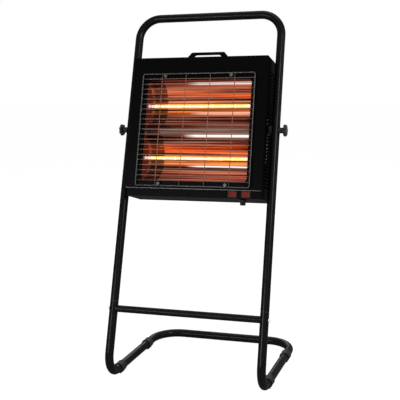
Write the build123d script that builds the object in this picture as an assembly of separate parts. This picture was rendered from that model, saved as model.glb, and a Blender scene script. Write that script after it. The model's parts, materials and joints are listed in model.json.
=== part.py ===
from build123d import *
import math
import os

# Infrared workshop heater on a leaning tube stand. Millimetres, +Z up.
# Front faces -Y. Origin: middle of the footprint, on the floor.

# Stand tubes
tube_d = 25.0
tube_wall = 1.5
upright_spacing = 454.0
stand_lean = 18.0
frame_length = 1088.0
foot_length = 425.0
top_bend_radius = 65.0
front_bend_radius = 50.0
rear_bend_radius = 80.0
joint_along = 217.0
spigot_length = 45.0
spigot_fit = 0.05
joint_screw_along = 22.0
joint_screw_d = 5.0
joint_screw_length = 12.0

# Crossbar between the legs
bar_d = 20.0
bar_wall = 1.5
bar_below_joint = 21.0
bar_fit = 0.05
plug_length = 25.0
bar_screw_d = 6.0
bar_screw_length = 40.0

# Rubber foot sleeves
foot_wall = 3.0
foot_sleeve_length = 28.0
foot_flat = 16.0
foot_fit = 0.05
front_foot_gap = 9.0
rear_foot_gap = 28.0

# Screw heads, as shares of the screw's diameter
pan_head_w = 2.0
pan_head_t = 0.6
pan_head_round = 0.25
button_head_w = 1.9
button_head_t = 0.55
button_head_round = 0.2

# Pivot between the stand and the head
pivot_below_top = 356.0
head_lean = 15.7
stud_d = 8.0
stud_fit = 0.03
bush_wall = 1.9
bush_fit = 0.05
bush_bore_gap = 0.2
saddle_fit = 0.1
saddle_rub_gap = 0.1
inner_saddle_d = 26.0
inner_saddle_wrap = 3.5
outer_saddle_d = 18.0
outer_saddle_wrap = 3.0
outer_saddle_wall = 1.8
knob_gap = 0.1
hub_d = 17.0
hub_length = 9.8
knob_d = 35.0
knob_thickness = 8.5
knob_lobes = 7
knob_lobe_out = 0.55
knob_lobe_round = 0.3
knob_lobe_r = 6.0
knob_edge = 1.5
stud_in_knob = 13.0
pivot_plate_w = 56.0
pivot_plate_h = 25.0
pivot_plate_t = 3.0
pivot_nut_across = 13.0
pivot_nut_t = 6.5
stud_past_nut = 1.0

# Casing of the heater head, measured from the pivot axis
sheet = 1.2
casing_gap = 6.0
casing_h = 417.0
casing_d = 117.0
pivot_over_bottom = 206.0
pivot_behind_front = 51.5
rear_flange = 12.0
seam_fit = 0.3
slot_count = 16
slot_pitch = 10.2
slot_h = 5.0
slot_length = 73.0
slot_from_front = 22.0
slot_group_offset = 92.0
vent_count = 21
vent_pitch = 10.0
vent_d = 5.0
vent_from_back = 16.0
back_slot_count = 12
back_slot_pitch = 14.0
back_slot_h = 5.0
back_slot_length = 90.0
back_slot_spread = 110.0
back_screw_d = 4.0
back_screw_length = 9.0

# Front panel
strip_h = 24.5
opening_w = 324.0
opening_h = 302.0
opening_drop = 9.0
opening_corner = 12.0
panel_flange = 14.0
opening_lip = 6.0

# Control strip and its two rocker switches
strip_setback = 7.5
strip_flange = 10.0
strip_fit = 0.2
switch_x = 121.0
switch_pitch = 39.5
bezel_w = 28.0
bezel_h = 20.6
bezel_edge = 0.4
bezel_t = 2.0
housing_w = 25.0
housing_h = 17.6
housing_depth = 22.0
housing_fit = 0.1
rocker_w = 22.4
rocker_h = 15.2
rocker_end_gap = 0.9
rocker_side_gap = 0.3
rocker_rise = 3.4
rocker_axis_depth = 4.0
rocker_tilt = 9.0
rocker_pin_d = 2.5
pin_fit = 0.05
tab_w = 6.3
tab_t = 0.8
tab_length = 8.0
tab_pitch = 9.0

# Reflectors
mirror_sheet = 0.8
lamp_pitch = 158.0
lamp_behind_front = 38.0
mirror_behind_front = 8.0
mirror_depth = 57.0
mirror_back_half = 24.0
mirror_bend_half = 52.0
mirror_bend_depth = 39.0
ridge_half = 4.0
mirror_rim = 8.0
end_plate_x = 166.0
end_plate_flange = 12.0
end_plate_rise = 6.0
end_plate_hole_d = 14.0

# Lamps
quartz_d = 10.0
quartz_wall = 1.0
quartz_half = 147.0
pinch_w = 7.0
pinch_t = 3.0
pinch_length = 10.0
filament_half = 141.0
filament_d = 2.6
filament_fit = 0.05
support_count = 7
support_t = 0.6
cap_d = 9.0
cap_from = 155.0
cap_length = 21.0
cap_slot_fit = 0.05
contact_d = 4.0
contact_length = 3.0
holder_w = 24.0
holder_h = 24.0
holder_length = 20.0
holder_bore_gap = 0.15
holder_contact_gap = 0.3

# Wire guard
guard_w = 350.0
guard_top = 160.0
guard_bottom = 177.5
guard_frame_d = 3.5
guard_wire_d = 2.0
guard_post_d = 2.3
guard_stand_off = 9.0
guard_gaps = 22
guard_posts = 4
guard_post_pitch = 75.0
guard_corner = 5.0
weld_sink = 0.3
eye_x = 102.0
eye_r = 4.8
eye_wire_d = 2.2
eye_sink = 1.6
spacer_d = 9.0
spacer_fit = 0.02
guard_screw_d = 4.0
guard_screw_head_d = 9.0
guard_screw_head_t = 2.4
guard_screw_head_edge = 1.2
guard_screw_grip = 7.0
guard_nut_across = 7.0
guard_nut_t = 3.2
screw_hole_gap = 0.15

# Handle
handle_behind_front = 69.0
handle_t = 2.5
handle_w = 128.0
handle_rise = 33.5
handle_bar = 9.0
handle_corner_w = 12.0
handle_corner_h = 14.0
handle_slot_w = 87.0
handle_slot_lift = 3.0
handle_foot = 18.0
handle_screw_d = 5.0
handle_screw_x = 48.0
handle_screw_length = 10.0
handle_nut_across = 8.0
handle_nut_t = 4.0

# Cord gland, terminal block and wires
gland_x = 144.0
gland_behind_front = 40.0
gland_thread_d = 12.0
gland_bore_d = 8.5
gland_nut_d = 16.0
gland_nut_length = 11.0
gland_nut_round = 0.12
gland_thread_share = 0.7
gland_hex_across = 17.0
gland_hex_t = 4.0
gland_thread_above = 8.0
gland_lock_t = 4.0
gland_fit = 0.05
gland_hole_gap = 0.1
block_x = 157.5
block_behind_front = 94.0
block_w = 51.0
block_depth = 18.0
block_h = 16.0
block_screw_pitch = 43.0
block_slot_w = 0.4
block_slot_from = 0.7
block_screw_d = 4.0
block_screw_length = 14.0
earth_x = 108.0
earth_d = 5.0
earth_nut_t = 0.8
earth_nut_across = 1.6
earth_length = 14.0
wire_d = 3.0
wire_pitch = 9.5
wire_run_behind = 26.0
wire_bend_share = 0.45
wire_exit = 14.0
wire_rear_exit = 6.0
wire_tab_exit = 18.0
wire_layer = 6.0
wire_side_step = 4.0
wire_plate_gap = 3.5
wire_spread = 30.0
wire_low_lift = 10.0
wire_mid_lift = 24.0
wire_high_lift = 32.0
wire_climb = 56.0
wire_rise_from = -100.0
wire_rise_to = 20.0

# Values that follow from the sizes above
tube_r = tube_d / 2
side_x = upright_spacing / 2
casing_half = side_x - tube_r - casing_gap
foot_r = tube_r + foot_wall
tube_z = foot_r
bar_along = joint_along - bar_below_joint
pivot_along = frame_length - pivot_below_top
front_tangent = front_bend_radius * math.tan(math.radians(90 + stand_lean) / 2)
front_y = front_tangent - front_bend_radius - tube_r
rear_y = foot_length + tube_r
leg_y = -(front_y + rear_y) / 2
stand_place = Location((0, leg_y, tube_z), (-stand_lean, 0, 0))
pivot_y = leg_y + pivot_along * math.sin(math.radians(stand_lean))
pivot_z = tube_z + pivot_along * math.cos(math.radians(stand_lean))
head_place = Location((0, pivot_y, pivot_z), (-head_lean, 0, 0))

z_bottom = -pivot_over_bottom
z_top = casing_h - pivot_over_bottom
y_front = -pivot_behind_front
y_back = casing_d - pivot_behind_front
z_floor = z_bottom + sheet
panel_bottom = z_bottom + strip_h
panel_back = y_front + sheet
z_mid = -opening_drop
lamp_y = y_front + lamp_behind_front
mirror_front = y_front + mirror_behind_front
mirror_back = mirror_front + mirror_depth
strip_y = y_front + strip_setback
inner_half = casing_half - sheet

parts = {}


def block(x0, x1, y0, y1, z0, z1):
    solid = Box(x1 - x0, y1 - y0, z1 - z0)
    return Pos((x0 + x1) / 2, (y0 + y1) / 2, (z0 + z1) / 2) * solid


def rod_x(x0, x1, y, z, d):
    return Pos((x0 + x1) / 2, y, z) * Rot(0, 90, 0) * Cylinder(d / 2, x1 - x0)


def rod_y(x, y0, y1, z, d):
    return Pos(x, (y0 + y1) / 2, z) * Rot(90, 0, 0) * Cylinder(d / 2, y1 - y0)


def rod_z(x, y, z0, z1, d):
    return Pos(x, y, (z0 + z1) / 2) * Cylinder(d / 2, z1 - z0)


def nut_z(x, y, z0, z1, across):
    outline = RegularPolygon(across / 2, 6, major_radius=False)
    return Pos(x, y, z0) * extrude(outline, z1 - z0)


def nut_x(x0, x1, y, z, across):
    outline = RegularPolygon(across / 2, 6, major_radius=False)
    return Pos(x0, y, z) * Rot(0, 90, 0) * extrude(outline, x1 - x0)


def mirrored(solid):
    return mirror(solid, about=Plane.YZ)


def tube_along(path, outer, inner):
    ring = Circle(outer / 2) - Circle(inner / 2)
    return sweep(Plane(path @ 0, z_dir=path % 0) * ring, path=path)


def group(solids):
    return Compound(children=[s for shape in solids for s in shape.solids()])


# Stand

def stand_hole(along, d):
    return rod_x(-2 * side_x, 2 * side_x, 0, along, d)


def joint_screw_holes(gap):
    z = joint_along + joint_screw_along
    holes = rod_y(-side_x, 0, tube_d, z, joint_screw_d + 2 * gap)
    return holes + mirrored(holes)


def make_upper_frame():
    corners = [
        (-side_x, 0, joint_along),
        (-side_x, 0, frame_length),
        (side_x, 0, frame_length),
        (side_x, 0, joint_along),
    ]
    path = FilletPolyline(*corners, radius=top_bend_radius)
    frame = tube_along(path, tube_d, tube_d - 2 * tube_wall)
    bush_d = stud_d + 2 * (bush_bore_gap + bush_wall)
    frame -= stand_hole(pivot_along, bush_d + 2 * bush_fit)
    return stand_place * (frame - joint_screw_holes(screw_hole_gap))


def make_base_frame():
    lean = math.radians(stand_lean)
    leg_top = Vector(0, math.sin(lean), math.cos(lean)) * joint_along
    left = Vector(-side_x, leg_y, tube_z)
    right = Vector(side_x, leg_y, tube_z)
    back = Vector(0, foot_length, 0)
    corners = [left + leg_top, left, left + back, right + back, right, right + leg_top]
    radii = [front_bend_radius, rear_bend_radius, rear_bend_radius, front_bend_radius]
    path = FilletPolyline(*corners, radius=radii)
    inner_d = tube_d - 2 * tube_wall
    frame = tube_along(path, tube_d, inner_d)
    spigot_d = inner_d - 2 * spigot_fit
    spigot = rod_z(-side_x, 0, joint_along - tube_wall, joint_along + spigot_length, spigot_d)
    spigot += rod_z(-side_x, 0, joint_along - tube_wall, joint_along, inner_d + tube_wall)
    bore = spigot_d - 2 * tube_wall
    spigot -= rod_z(-side_x, 0, joint_along - 2 * tube_wall, joint_along + 2 * spigot_length, bore)
    frame += stand_place * spigot
    frame += stand_place * mirrored(spigot)
    frame -= stand_place * stand_hole(bar_along, bar_screw_d + 2 * screw_hole_gap)
    return frame - stand_place * joint_screw_holes(screw_hole_gap)


def make_joint_screws():
    z = joint_along + joint_screw_along
    start = tube_r - joint_screw_length + tube_wall
    screw = rod_y(-side_x, start, tube_r, z, joint_screw_d)
    button = rod_y(-side_x, tube_r, tube_r + joint_screw_d * button_head_t, z, joint_screw_d * button_head_w)
    screw += fillet(button.edges().group_by(Axis.Y)[-1], joint_screw_d * button_head_round)
    return stand_place * group([screw, mirrored(screw)])


def bar_end():
    return side_x - tube_r - bar_fit


def make_crossbar():
    bar = rod_x(-side_x, side_x, 0, bar_along, bar_d)
    bar -= rod_x(-side_x, side_x, 0, bar_along, bar_d - 2 * bar_wall)
    leg = rod_z(side_x, 0, bar_along - bar_d, bar_along + bar_d, tube_d + 2 * bar_fit)
    return stand_place * (bar - leg - mirrored(leg))


def make_bar_plugs():
    end = bar_end() - screw_hole_gap
    plug = rod_x(end - plug_length, end, 0, bar_along, bar_d - 2 * bar_wall - 2 * bar_fit)
    plug -= rod_x(end - 2 * plug_length, end + 1, 0, bar_along, bar_screw_d + 2 * bar_fit)
    return stand_place * group([plug, mirrored(plug)])


def make_bar_screws():
    head = side_x + tube_r
    screw = rod_x(head - bar_screw_length, head, 0, bar_along, bar_screw_d)
    button = rod_x(head, head + bar_screw_d * button_head_t, 0, bar_along, bar_screw_d * button_head_w)
    screw += fillet(button.edges().group_by(Axis.X)[-1], bar_screw_d * button_head_round)
    return stand_place * group([screw, mirrored(screw)])


def make_foot(x, y):
    half = foot_sleeve_length / 2
    sleeve = rod_y(x, y - half, y + half, tube_z, 2 * foot_r)
    rims = sleeve.edges().filter_by(GeomType.CIRCLE)
    sleeve = chamfer(rims, foot_wall / 4)
    sleeve += block(x - foot_flat / 2, x + foot_flat / 2, y - half, y + half, 0, tube_z)
    return sleeve - rod_y(x, y - foot_sleeve_length, y + foot_sleeve_length, tube_z,
                          tube_d + 2 * foot_fit)


def build_stand():
    front = leg_y + front_tangent + front_foot_gap + foot_sleeve_length / 2
    rear = leg_y + foot_length - rear_bend_radius - rear_foot_gap - foot_sleeve_length / 2
    parts["upper_frame"] = make_upper_frame()
    parts["base_frame"] = make_base_frame()
    parts["joint_screws"] = make_joint_screws()
    parts["crossbar"] = make_crossbar()
    parts["crossbar_plugs"] = make_bar_plugs()
    parts["crossbar_screws"] = make_bar_screws()
    parts["foot_sleeve_front_left"] = make_foot(-side_x, front)
    parts["foot_sleeve_front_right"] = make_foot(side_x, front)
    parts["foot_sleeve_rear_left"] = make_foot(-side_x, rear)
    parts["foot_sleeve_rear_right"] = make_foot(side_x, rear)


# Pivot: a stud through each upright, screwed into the head

def tube_cutter():
    reach = 2 * inner_saddle_d
    return rod_z(side_x, 0, pivot_along - reach, pivot_along + reach, tube_d + 2 * saddle_fit)


def make_pivot_bush():
    outer = stud_d + 2 * (bush_bore_gap + bush_wall)
    half = math.sqrt(tube_r**2 - (outer / 2) ** 2)
    bush = rod_x(side_x - half, side_x + half, 0, pivot_along, outer)
    return bush - stand_hole(pivot_along, stud_d + 2 * bush_bore_gap)


def make_inner_saddle():
    start = casing_half + saddle_rub_gap
    end = side_x - tube_r + inner_saddle_wrap
    saddle = rod_x(start, end, 0, pivot_along, inner_saddle_d)
    saddle -= tube_cutter()
    return saddle - stand_hole(pivot_along, stud_d + 2 * bush_bore_gap)


def make_outer_saddle():
    start = side_x + tube_r - outer_saddle_wrap
    end = side_x + tube_r + outer_saddle_wall
    saddle = rod_x(start, end, 0, pivot_along, outer_saddle_d)
    saddle -= tube_cutter()
    return saddle - stand_hole(pivot_along, stud_d + 2 * bush_bore_gap)


def hub_start():
    return side_x + tube_r + outer_saddle_wall + knob_gap


def make_knob():
    start = hub_start()
    head_start = start + hub_length
    end = head_start + knob_thickness
    star = Circle(knob_d / 2)
    for place in PolarLocations(knob_d / 2 + knob_lobe_r * knob_lobe_out, knob_lobes):
        star -= place * Circle(knob_lobe_r)
    star = fillet(star.vertices(), knob_lobe_r * knob_lobe_round)
    head = Pos(head_start, 0, pivot_along) * Rot(0, 90, 0) * extrude(star, knob_thickness)
    rims = head.edges().group_by(Axis.X)
    head = chamfer(rims[0] + rims[-1], knob_edge)
    knob = head + rod_x(start, head_start + 1, 0, pivot_along, hub_d)
    bore = stud_in_knob + stud_fit
    return knob - rod_x(start - 1, start + bore, 0, pivot_along, stud_d + 2 * stud_fit)


def make_stud():
    start = inner_half - pivot_plate_t - pivot_nut_t - stud_past_nut
    return rod_x(start, hub_start() + stud_in_knob, 0, pivot_along, stud_d)


def make_pivot_plate():
    x1 = inner_half
    x0 = x1 - pivot_plate_t
    plate = block(x0, x1, -pivot_plate_w / 2, pivot_plate_w / 2, -pivot_plate_h / 2, pivot_plate_h / 2)
    plate += nut_x(x0 - pivot_nut_t, x0, 0, 0, pivot_nut_across)
    return plate - rod_x(0, 2 * side_x, 0, 0, stud_d + 2 * stud_fit)


def build_pivots():
    pieces = {
        "pivot_bush": stand_place * make_pivot_bush(),
        "inner_saddle": stand_place * make_inner_saddle(),
        "outer_saddle": stand_place * make_outer_saddle(),
        "knob": stand_place * make_knob(),
        "knob_stud": stand_place * make_stud(),
        "pivot_plate": head_place * make_pivot_plate(),
    }
    for name, solid in pieces.items():
        parts[name + "_right"] = solid
        parts[name + "_left"] = mirrored(solid)


# Casing of the head, in the head's own frame

def side_slot_cutter():
    outline = SlotOverall(slot_length, slot_h)
    slot = Rot(0, 90, 0) * Rot(0, 0, 90) * extrude(outline, casing_half, both=True)
    y = y_front + slot_from_front + slot_length / 2
    first = -(slot_count - 1) / 2 * slot_pitch
    cutters = []
    for group_z in (-slot_group_offset, slot_group_offset):
        for i in range(slot_count):
            cutters.append(Pos(0, y, group_z + first + i * slot_pitch) * slot)
    bands = block(-inner_half + sheet, inner_half - sheet, y_front, y_back, z_bottom, z_top)
    return [cutter - bands for cutter in cutters]


def vent_row():
    y = y_back - vent_from_back
    first = -(vent_count - 1) / 2 * vent_pitch
    return [rod_z(first + i * vent_pitch, y, z_bottom - 1, z_top + 1, vent_d) for i in range(vent_count)]


def head_screw_holes():
    holes = []
    for sign in (-1, 1):
        x = block_x + sign * block_screw_pitch / 2
        d = block_screw_d + 2 * screw_hole_gap
        holes.append(rod_z(x, y_front + block_behind_front, z_bottom - 1, z_floor + 1, d))
        d = handle_screw_d + 2 * screw_hole_gap
        y = handle_screw_y()
        holes.append(rod_z(sign * handle_screw_x, y, z_top - 2 * sheet, z_top + sheet, d))
    return holes


def make_casing():
    y0 = panel_back
    y1 = y_back - sheet
    shell = block(-casing_half, casing_half, y0, y1, z_bottom, z_top)
    shell = fillet(shell.edges().filter_by(Axis.Y), 2 * sheet)
    inner = block(-inner_half, inner_half, y0 - 1, y1 - sheet, z_floor, z_top - sheet)
    shell -= fillet(inner.edges().filter_by(Axis.Y), sheet)
    lip = rear_flange - sheet
    shell -= block(-inner_half + lip, inner_half - lip, 0, y1 + 1, z_floor + lip, z_top - sheet - lip)
    shell -= side_slot_cutter()
    shell -= vent_row()
    shell -= head_screw_holes()
    shell -= rod_x(-2 * side_x, 2 * side_x, 0, 0, stud_d + 2 * bush_bore_gap)
    gland_hole = gland_thread_d + 2 * gland_hole_gap
    shell -= rod_z(gland_x, gland_y(), z_bottom - 1, z_floor + 1, gland_hole)
    return shell - back_screw_holes()


def back_screw_places():
    x = casing_half - rear_flange / 2
    z_low = z_bottom + rear_flange / 2
    z_high = z_top - rear_flange / 2
    z_half = (z_low + z_high) / 2
    corners = [(-x, z_low), (x, z_low), (-x, z_high), (x, z_high)]
    return corners + [(0, z_low), (0, z_high), (-x, z_half), (x, z_half)]


def back_screw_holes():
    d = back_screw_d + 2 * screw_hole_gap
    return [rod_y(x, y_back - 4 * sheet, y_back + 1, z, d) for x, z in back_screw_places()]


def make_back_cover():
    cover = block(-casing_half, casing_half, y_back - sheet, y_back, z_bottom, z_top)
    cover = fillet(cover.edges().filter_by(Axis.Y), 2 * sheet)
    slot = Rot(90, 0, 0) * extrude(SlotOverall(back_slot_length, back_slot_h), 2 * sheet, both=True)
    first = -(back_slot_count - 1) / 2 * back_slot_pitch
    middle = (z_top + z_bottom) / 2
    cutters = []
    for x in (-back_slot_spread, 0, back_slot_spread):
        for i in range(back_slot_count):
            cutters.append(Pos(x, y_back, middle + first + i * back_slot_pitch) * slot)
    return cover - cutters - back_screw_holes()


def pan_screw_y(x, y_seat, z, d, length):
    screw = rod_y(x, y_seat - length, y_seat, z, d)
    head = rod_y(x, y_seat, y_seat + d * pan_head_t, z, d * pan_head_w)
    return screw + fillet(head.edges().group_by(Axis.Y)[-1], d * pan_head_round)


def make_back_screws():
    screw = pan_screw_y(0, y_back, 0, back_screw_d, back_screw_length)
    return group([Pos(x, 0, z) * screw for x, z in back_screw_places()])


def opening_outline(grow, y0, y1):
    w = opening_w + 2 * grow
    h = opening_h + 2 * grow
    outline = RectangleRounded(w, h, opening_corner + grow)
    return Pos(0, y1, z_mid) * Rot(90, 0, 0) * extrude(outline, y1 - y0)


def make_front_panel():
    face = block(-casing_half, casing_half, y_front, panel_back, panel_bottom, z_top)
    face = fillet(face.edges().filter_by(Axis.Y).group_by(Axis.Z)[-1], 2 * sheet)
    x1 = inner_half - seam_fit
    z1 = z_top - sheet - seam_fit
    y1 = panel_back + panel_flange
    rim = block(-x1, x1, panel_back, y1, panel_bottom, z1)
    rim = fillet(rim.edges().filter_by(Axis.Y), sheet)
    rim -= block(-x1 + sheet, x1 - sheet, panel_back, y1, panel_bottom + sheet, z1 - sheet)
    panel = face + rim
    panel += opening_outline(sheet, panel_back, panel_back + opening_lip)
    panel -= opening_outline(0, y_front - 1, panel_back + opening_lip + 1)
    return panel - guard_holes()


# Control strip and rocker switches

def switch_places():
    return {"left": switch_x, "right": switch_x + switch_pitch}


def switch_z():
    return z_bottom + strip_h / 2


def make_control_strip():
    x1 = inner_half - strip_fit
    z0 = z_floor
    z1 = panel_bottom
    strip = block(-x1, x1, strip_y, strip_y + strip_flange, z0, z1)
    strip = fillet(strip.edges().filter_by(Axis.Y).group_by(Axis.Z)[0], sheet)
    strip -= block(-x1, x1, strip_y + sheet, strip_y + strip_flange, z0 + sheet, z1 - sheet)
    w = housing_w / 2 + housing_fit
    h = housing_h / 2 + housing_fit
    z = switch_z()
    for x in switch_places().values():
        strip -= block(x - w, x + w, strip_y - 1, strip_y + 3 * sheet, z - h, z + h)
    return strip


def make_switch_housing():
    y0 = strip_y - bezel_t
    y1 = strip_y + housing_depth
    bezel = block(-bezel_w / 2, bezel_w / 2, y0, strip_y, -bezel_h / 2, bezel_h / 2)
    bezel = chamfer(bezel.faces().sort_by(Axis.Y)[0].edges(), bezel_t * bezel_edge)
    body = bezel + block(-housing_w / 2, housing_w / 2, strip_y, y1, -housing_h / 2, housing_h / 2)
    w = rocker_w / 2 + rocker_end_gap
    h = rocker_h / 2 + rocker_side_gap
    body -= block(-w, w, y0 - 1, rocker_axis_y() + rocker_w / 2, -h, h)
    body += rod_z(0, rocker_axis_y(), -h, h, rocker_pin_d)
    for x in (-tab_pitch / 2, tab_pitch / 2):
        body += block(x - tab_t / 2, x + tab_t / 2, y1, y1 + tab_length, -tab_w / 2, tab_w / 2)
    return body


def rocker_axis_y():
    return strip_y - bezel_t + rocker_axis_depth


def make_rocker():
    x = rocker_w / 2
    ends = -(rocker_axis_depth + rocker_rise)
    dip = ends + x * math.tan(math.radians(rocker_tilt))
    back = rocker_axis_depth
    outline = Polyline((-x, ends), (0, dip), (x, ends), (x, back), (-x, back), close=True)
    cap = Pos(0, 0, -rocker_h / 2) * extrude(make_face(outline), rocker_h)
    cap -= Cylinder(rocker_pin_d / 2 + pin_fit, 2 * rocker_h)
    return Rot(0, 0, rocker_tilt) * cap


def build_switches():
    parts["control_strip"] = make_control_strip()
    for side, x in switch_places().items():
        parts["switch_housing_" + side] = Pos(x, 0, switch_z()) * make_switch_housing()
        parts["rocker_" + side] = Pos(x, rocker_axis_y(), switch_z()) * make_rocker()


# Reflectors, lamps and lamp holders

def lamp_heights():
    return {"upper": z_mid + lamp_pitch / 2, "lower": z_mid - lamp_pitch / 2}


def make_mirror(z, rim_sign):
    edge = lamp_pitch / 2 - ridge_half
    bend_y = mirror_front + mirror_bend_depth
    half = [(mirror_front, edge), (bend_y, mirror_bend_half), (mirror_back, mirror_back_half)]
    points = half + [(y, -h) for y, h in reversed(half)]
    hollow = make_face(Polyline(*points, close=True))
    wall = offset(hollow, amount=mirror_sheet, kind=Kind.INTERSECTION) - hollow
    trough = extrude(Plane.YZ * wall, end_plate_x, both=True)
    trough -= block(-2 * end_plate_x, 2 * end_plate_x, y_front, mirror_front, -lamp_pitch, lamp_pitch)
    y1 = mirror_front + mirror_sheet
    trough += block(-end_plate_x, end_plate_x, mirror_front, y1, edge, edge + mirror_rim)
    trough += block(-end_plate_x, end_plate_x, mirror_front, y1, -edge - ridge_half, -edge)
    if rim_sign < 0:
        trough = mirror(trough, about=Plane.XY)
    return Pos(0, 0, z) * trough


def make_end_plate():
    x1 = end_plate_x + mirror_sheet
    z0 = z_mid - lamp_pitch - end_plate_rise
    z1 = z_mid + lamp_pitch + end_plate_rise
    plate = block(end_plate_x, x1, panel_back, mirror_back + end_plate_rise, z0, z1)
    plate += block(end_plate_x, x1 + end_plate_flange, panel_back, panel_back + mirror_sheet, z0, z1)
    for z in lamp_heights().values():
        plate -= rod_x(end_plate_x - 1, x1 + 1, lamp_y, z, end_plate_hole_d)
    return plate


def make_lamp_tube(z):
    tube = rod_x(-quartz_half, quartz_half, lamp_y, z, quartz_d)
    inner = quartz_half - quartz_wall
    tube -= rod_x(-inner, inner, lamp_y, z, quartz_d - 2 * quartz_wall)
    x0 = quartz_half - quartz_wall / 2
    x1 = quartz_half + pinch_length
    pinch = block(x0, x1, lamp_y - pinch_t / 2, lamp_y + pinch_t / 2, z - pinch_w / 2, z + pinch_w / 2)
    return tube + pinch + mirrored(pinch)


def make_filament(z):
    inner = quartz_half - quartz_wall
    coil = rod_x(-filament_half, filament_half, lamp_y, z, filament_d)
    coil += rod_x(-inner, inner, lamp_y, z, filament_d / 3)
    ring_d = quartz_d - 2 * quartz_wall - 2 * filament_fit
    pitch = 2 * filament_half / (support_count + 1)
    for i in range(support_count):
        x = -filament_half + (i + 1) * pitch
        coil += rod_x(x - support_t / 2, x + support_t / 2, lamp_y, z, ring_d)
    return coil


def make_lamp_caps(z):
    cap_end = cap_from + cap_length
    cap = rod_x(cap_from, cap_end, lamp_y, z, cap_d)
    cap += rod_x(cap_end, cap_end + contact_length, lamp_y, z, contact_d)
    y = pinch_t / 2 + cap_slot_fit
    h = pinch_w / 2 + cap_slot_fit
    x1 = quartz_half + pinch_length + cap_slot_fit
    cap -= block(cap_from - 1, x1, lamp_y - y, lamp_y + y, z - h, z + h)
    return group([cap, mirrored(cap)])


def holder_end():
    return end_plate_x + mirror_sheet + holder_length


def make_lamp_holder(z):
    x0 = end_plate_x + mirror_sheet
    y = holder_w / 2
    h = holder_h / 2
    body = block(x0, holder_end(), lamp_y - y, lamp_y + y, z - h, z + h)
    cap_end = cap_from + cap_length
    body -= rod_x(x0 - 1, cap_end + holder_contact_gap, lamp_y, z, cap_d + 2 * holder_bore_gap)
    contact_end = cap_end + contact_length + holder_contact_gap
    return body - rod_x(x0, contact_end, lamp_y, z, contact_d + 2 * holder_bore_gap)


def build_lamps():
    heights = lamp_heights()
    parts["reflector_upper"] = make_mirror(heights["upper"], 1)
    parts["reflector_lower"] = make_mirror(heights["lower"], -1)
    end_plate = make_end_plate()
    parts["end_plate_right"] = end_plate
    parts["end_plate_left"] = mirrored(end_plate)
    for level, z in heights.items():
        parts["lamp_tube_" + level] = make_lamp_tube(z)
        parts["lamp_filament_" + level] = make_filament(z)
        parts["lamp_caps_" + level] = make_lamp_caps(z)
        holder = make_lamp_holder(z)
        parts["lamp_holder_" + level + "_right"] = holder
        parts["lamp_holder_" + level + "_left"] = mirrored(holder)


# Wire guard and its screws

def guard_y():
    return y_front - guard_stand_off


def guard_eyes():
    reach = eye_r + eye_wire_d / 2
    z_high = guard_top - guard_frame_d + eye_sink - reach
    z_low = -guard_bottom + guard_frame_d - eye_sink + reach
    return [(x, z) for x in (-eye_x, eye_x) for z in (z_low, z_high)]


def guard_holes():
    d = guard_screw_d + 2 * screw_hole_gap
    return [rod_y(x, y_front - 1, panel_back + 1, z, d) for x, z in guard_eyes()]


def make_guard():
    w = guard_w - guard_frame_d
    h = guard_top + guard_bottom - guard_frame_d
    z_middle = (guard_top - guard_bottom) / 2
    y = guard_y()
    loop = Pos(0, y, z_middle) * Rot(90, 0, 0) * RectangleRounded(w, h, guard_corner)
    path = loop.wire()
    guard = sweep(Plane(path @ 0, z_dir=path % 0) * Circle(guard_frame_d / 2), path=path)
    z_low = z_middle - h / 2
    bars = [rod_x(-w / 2, w / 2, y, z_low + i * h / guard_gaps, guard_wire_d) for i in range(1, guard_gaps)]
    post_y = y + (guard_wire_d + guard_post_d) / 2 - weld_sink
    first = -(guard_posts - 1) / 2 * guard_post_pitch
    for i in range(guard_posts):
        bars.append(rod_z(first + i * guard_post_pitch, post_y, z_low, z_low + h, guard_post_d))
    eye = Rot(90, 0, 0) * Torus(eye_r, eye_wire_d / 2)
    bars += [Pos(x, y, z) * eye for x, z in guard_eyes()]
    return guard + bars


def make_guard_spacers():
    y0 = guard_y() + eye_wire_d / 2 + spacer_fit
    spacer = rod_y(0, y0, y_front, 0, spacer_d)
    spacer -= rod_y(0, y0 - 1, y_front + 1, 0, guard_screw_d + 2 * screw_hole_gap)
    return group([Pos(x, 0, z) * spacer for x, z in guard_eyes()])


def make_guard_screws():
    seat = guard_y() - eye_wire_d / 2 - spacer_fit
    screw = rod_y(0, seat, y_front + guard_screw_grip, 0, guard_screw_d)
    head = rod_y(0, seat - guard_screw_head_t, seat, 0, guard_screw_head_d)
    screw += fillet(head.edges().group_by(Axis.Y)[0], guard_screw_head_edge)
    return group([Pos(x, 0, z) * screw for x, z in guard_eyes()])


def make_guard_nuts():
    outline = RegularPolygon(guard_nut_across / 2, 6, major_radius=False)
    nut = Pos(0, panel_back + guard_nut_t, 0) * Rot(90, 0, 0) * extrude(outline, guard_nut_t)
    nut -= rod_y(0, y_front, panel_back + 2 * guard_nut_t, 0, guard_screw_d + 2 * stud_fit)
    return group([Pos(x, 0, z) * nut for x, z in guard_eyes()])


def build_guard():
    parts["guard"] = make_guard()
    parts["guard_spacers"] = make_guard_spacers()
    parts["guard_screws"] = make_guard_screws()
    parts["guard_nuts"] = make_guard_nuts()


# Handle on top of the casing

def handle_y():
    return y_front + handle_behind_front


def handle_screw_y():
    return handle_y() + handle_t / 2 + handle_foot / 2


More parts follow.
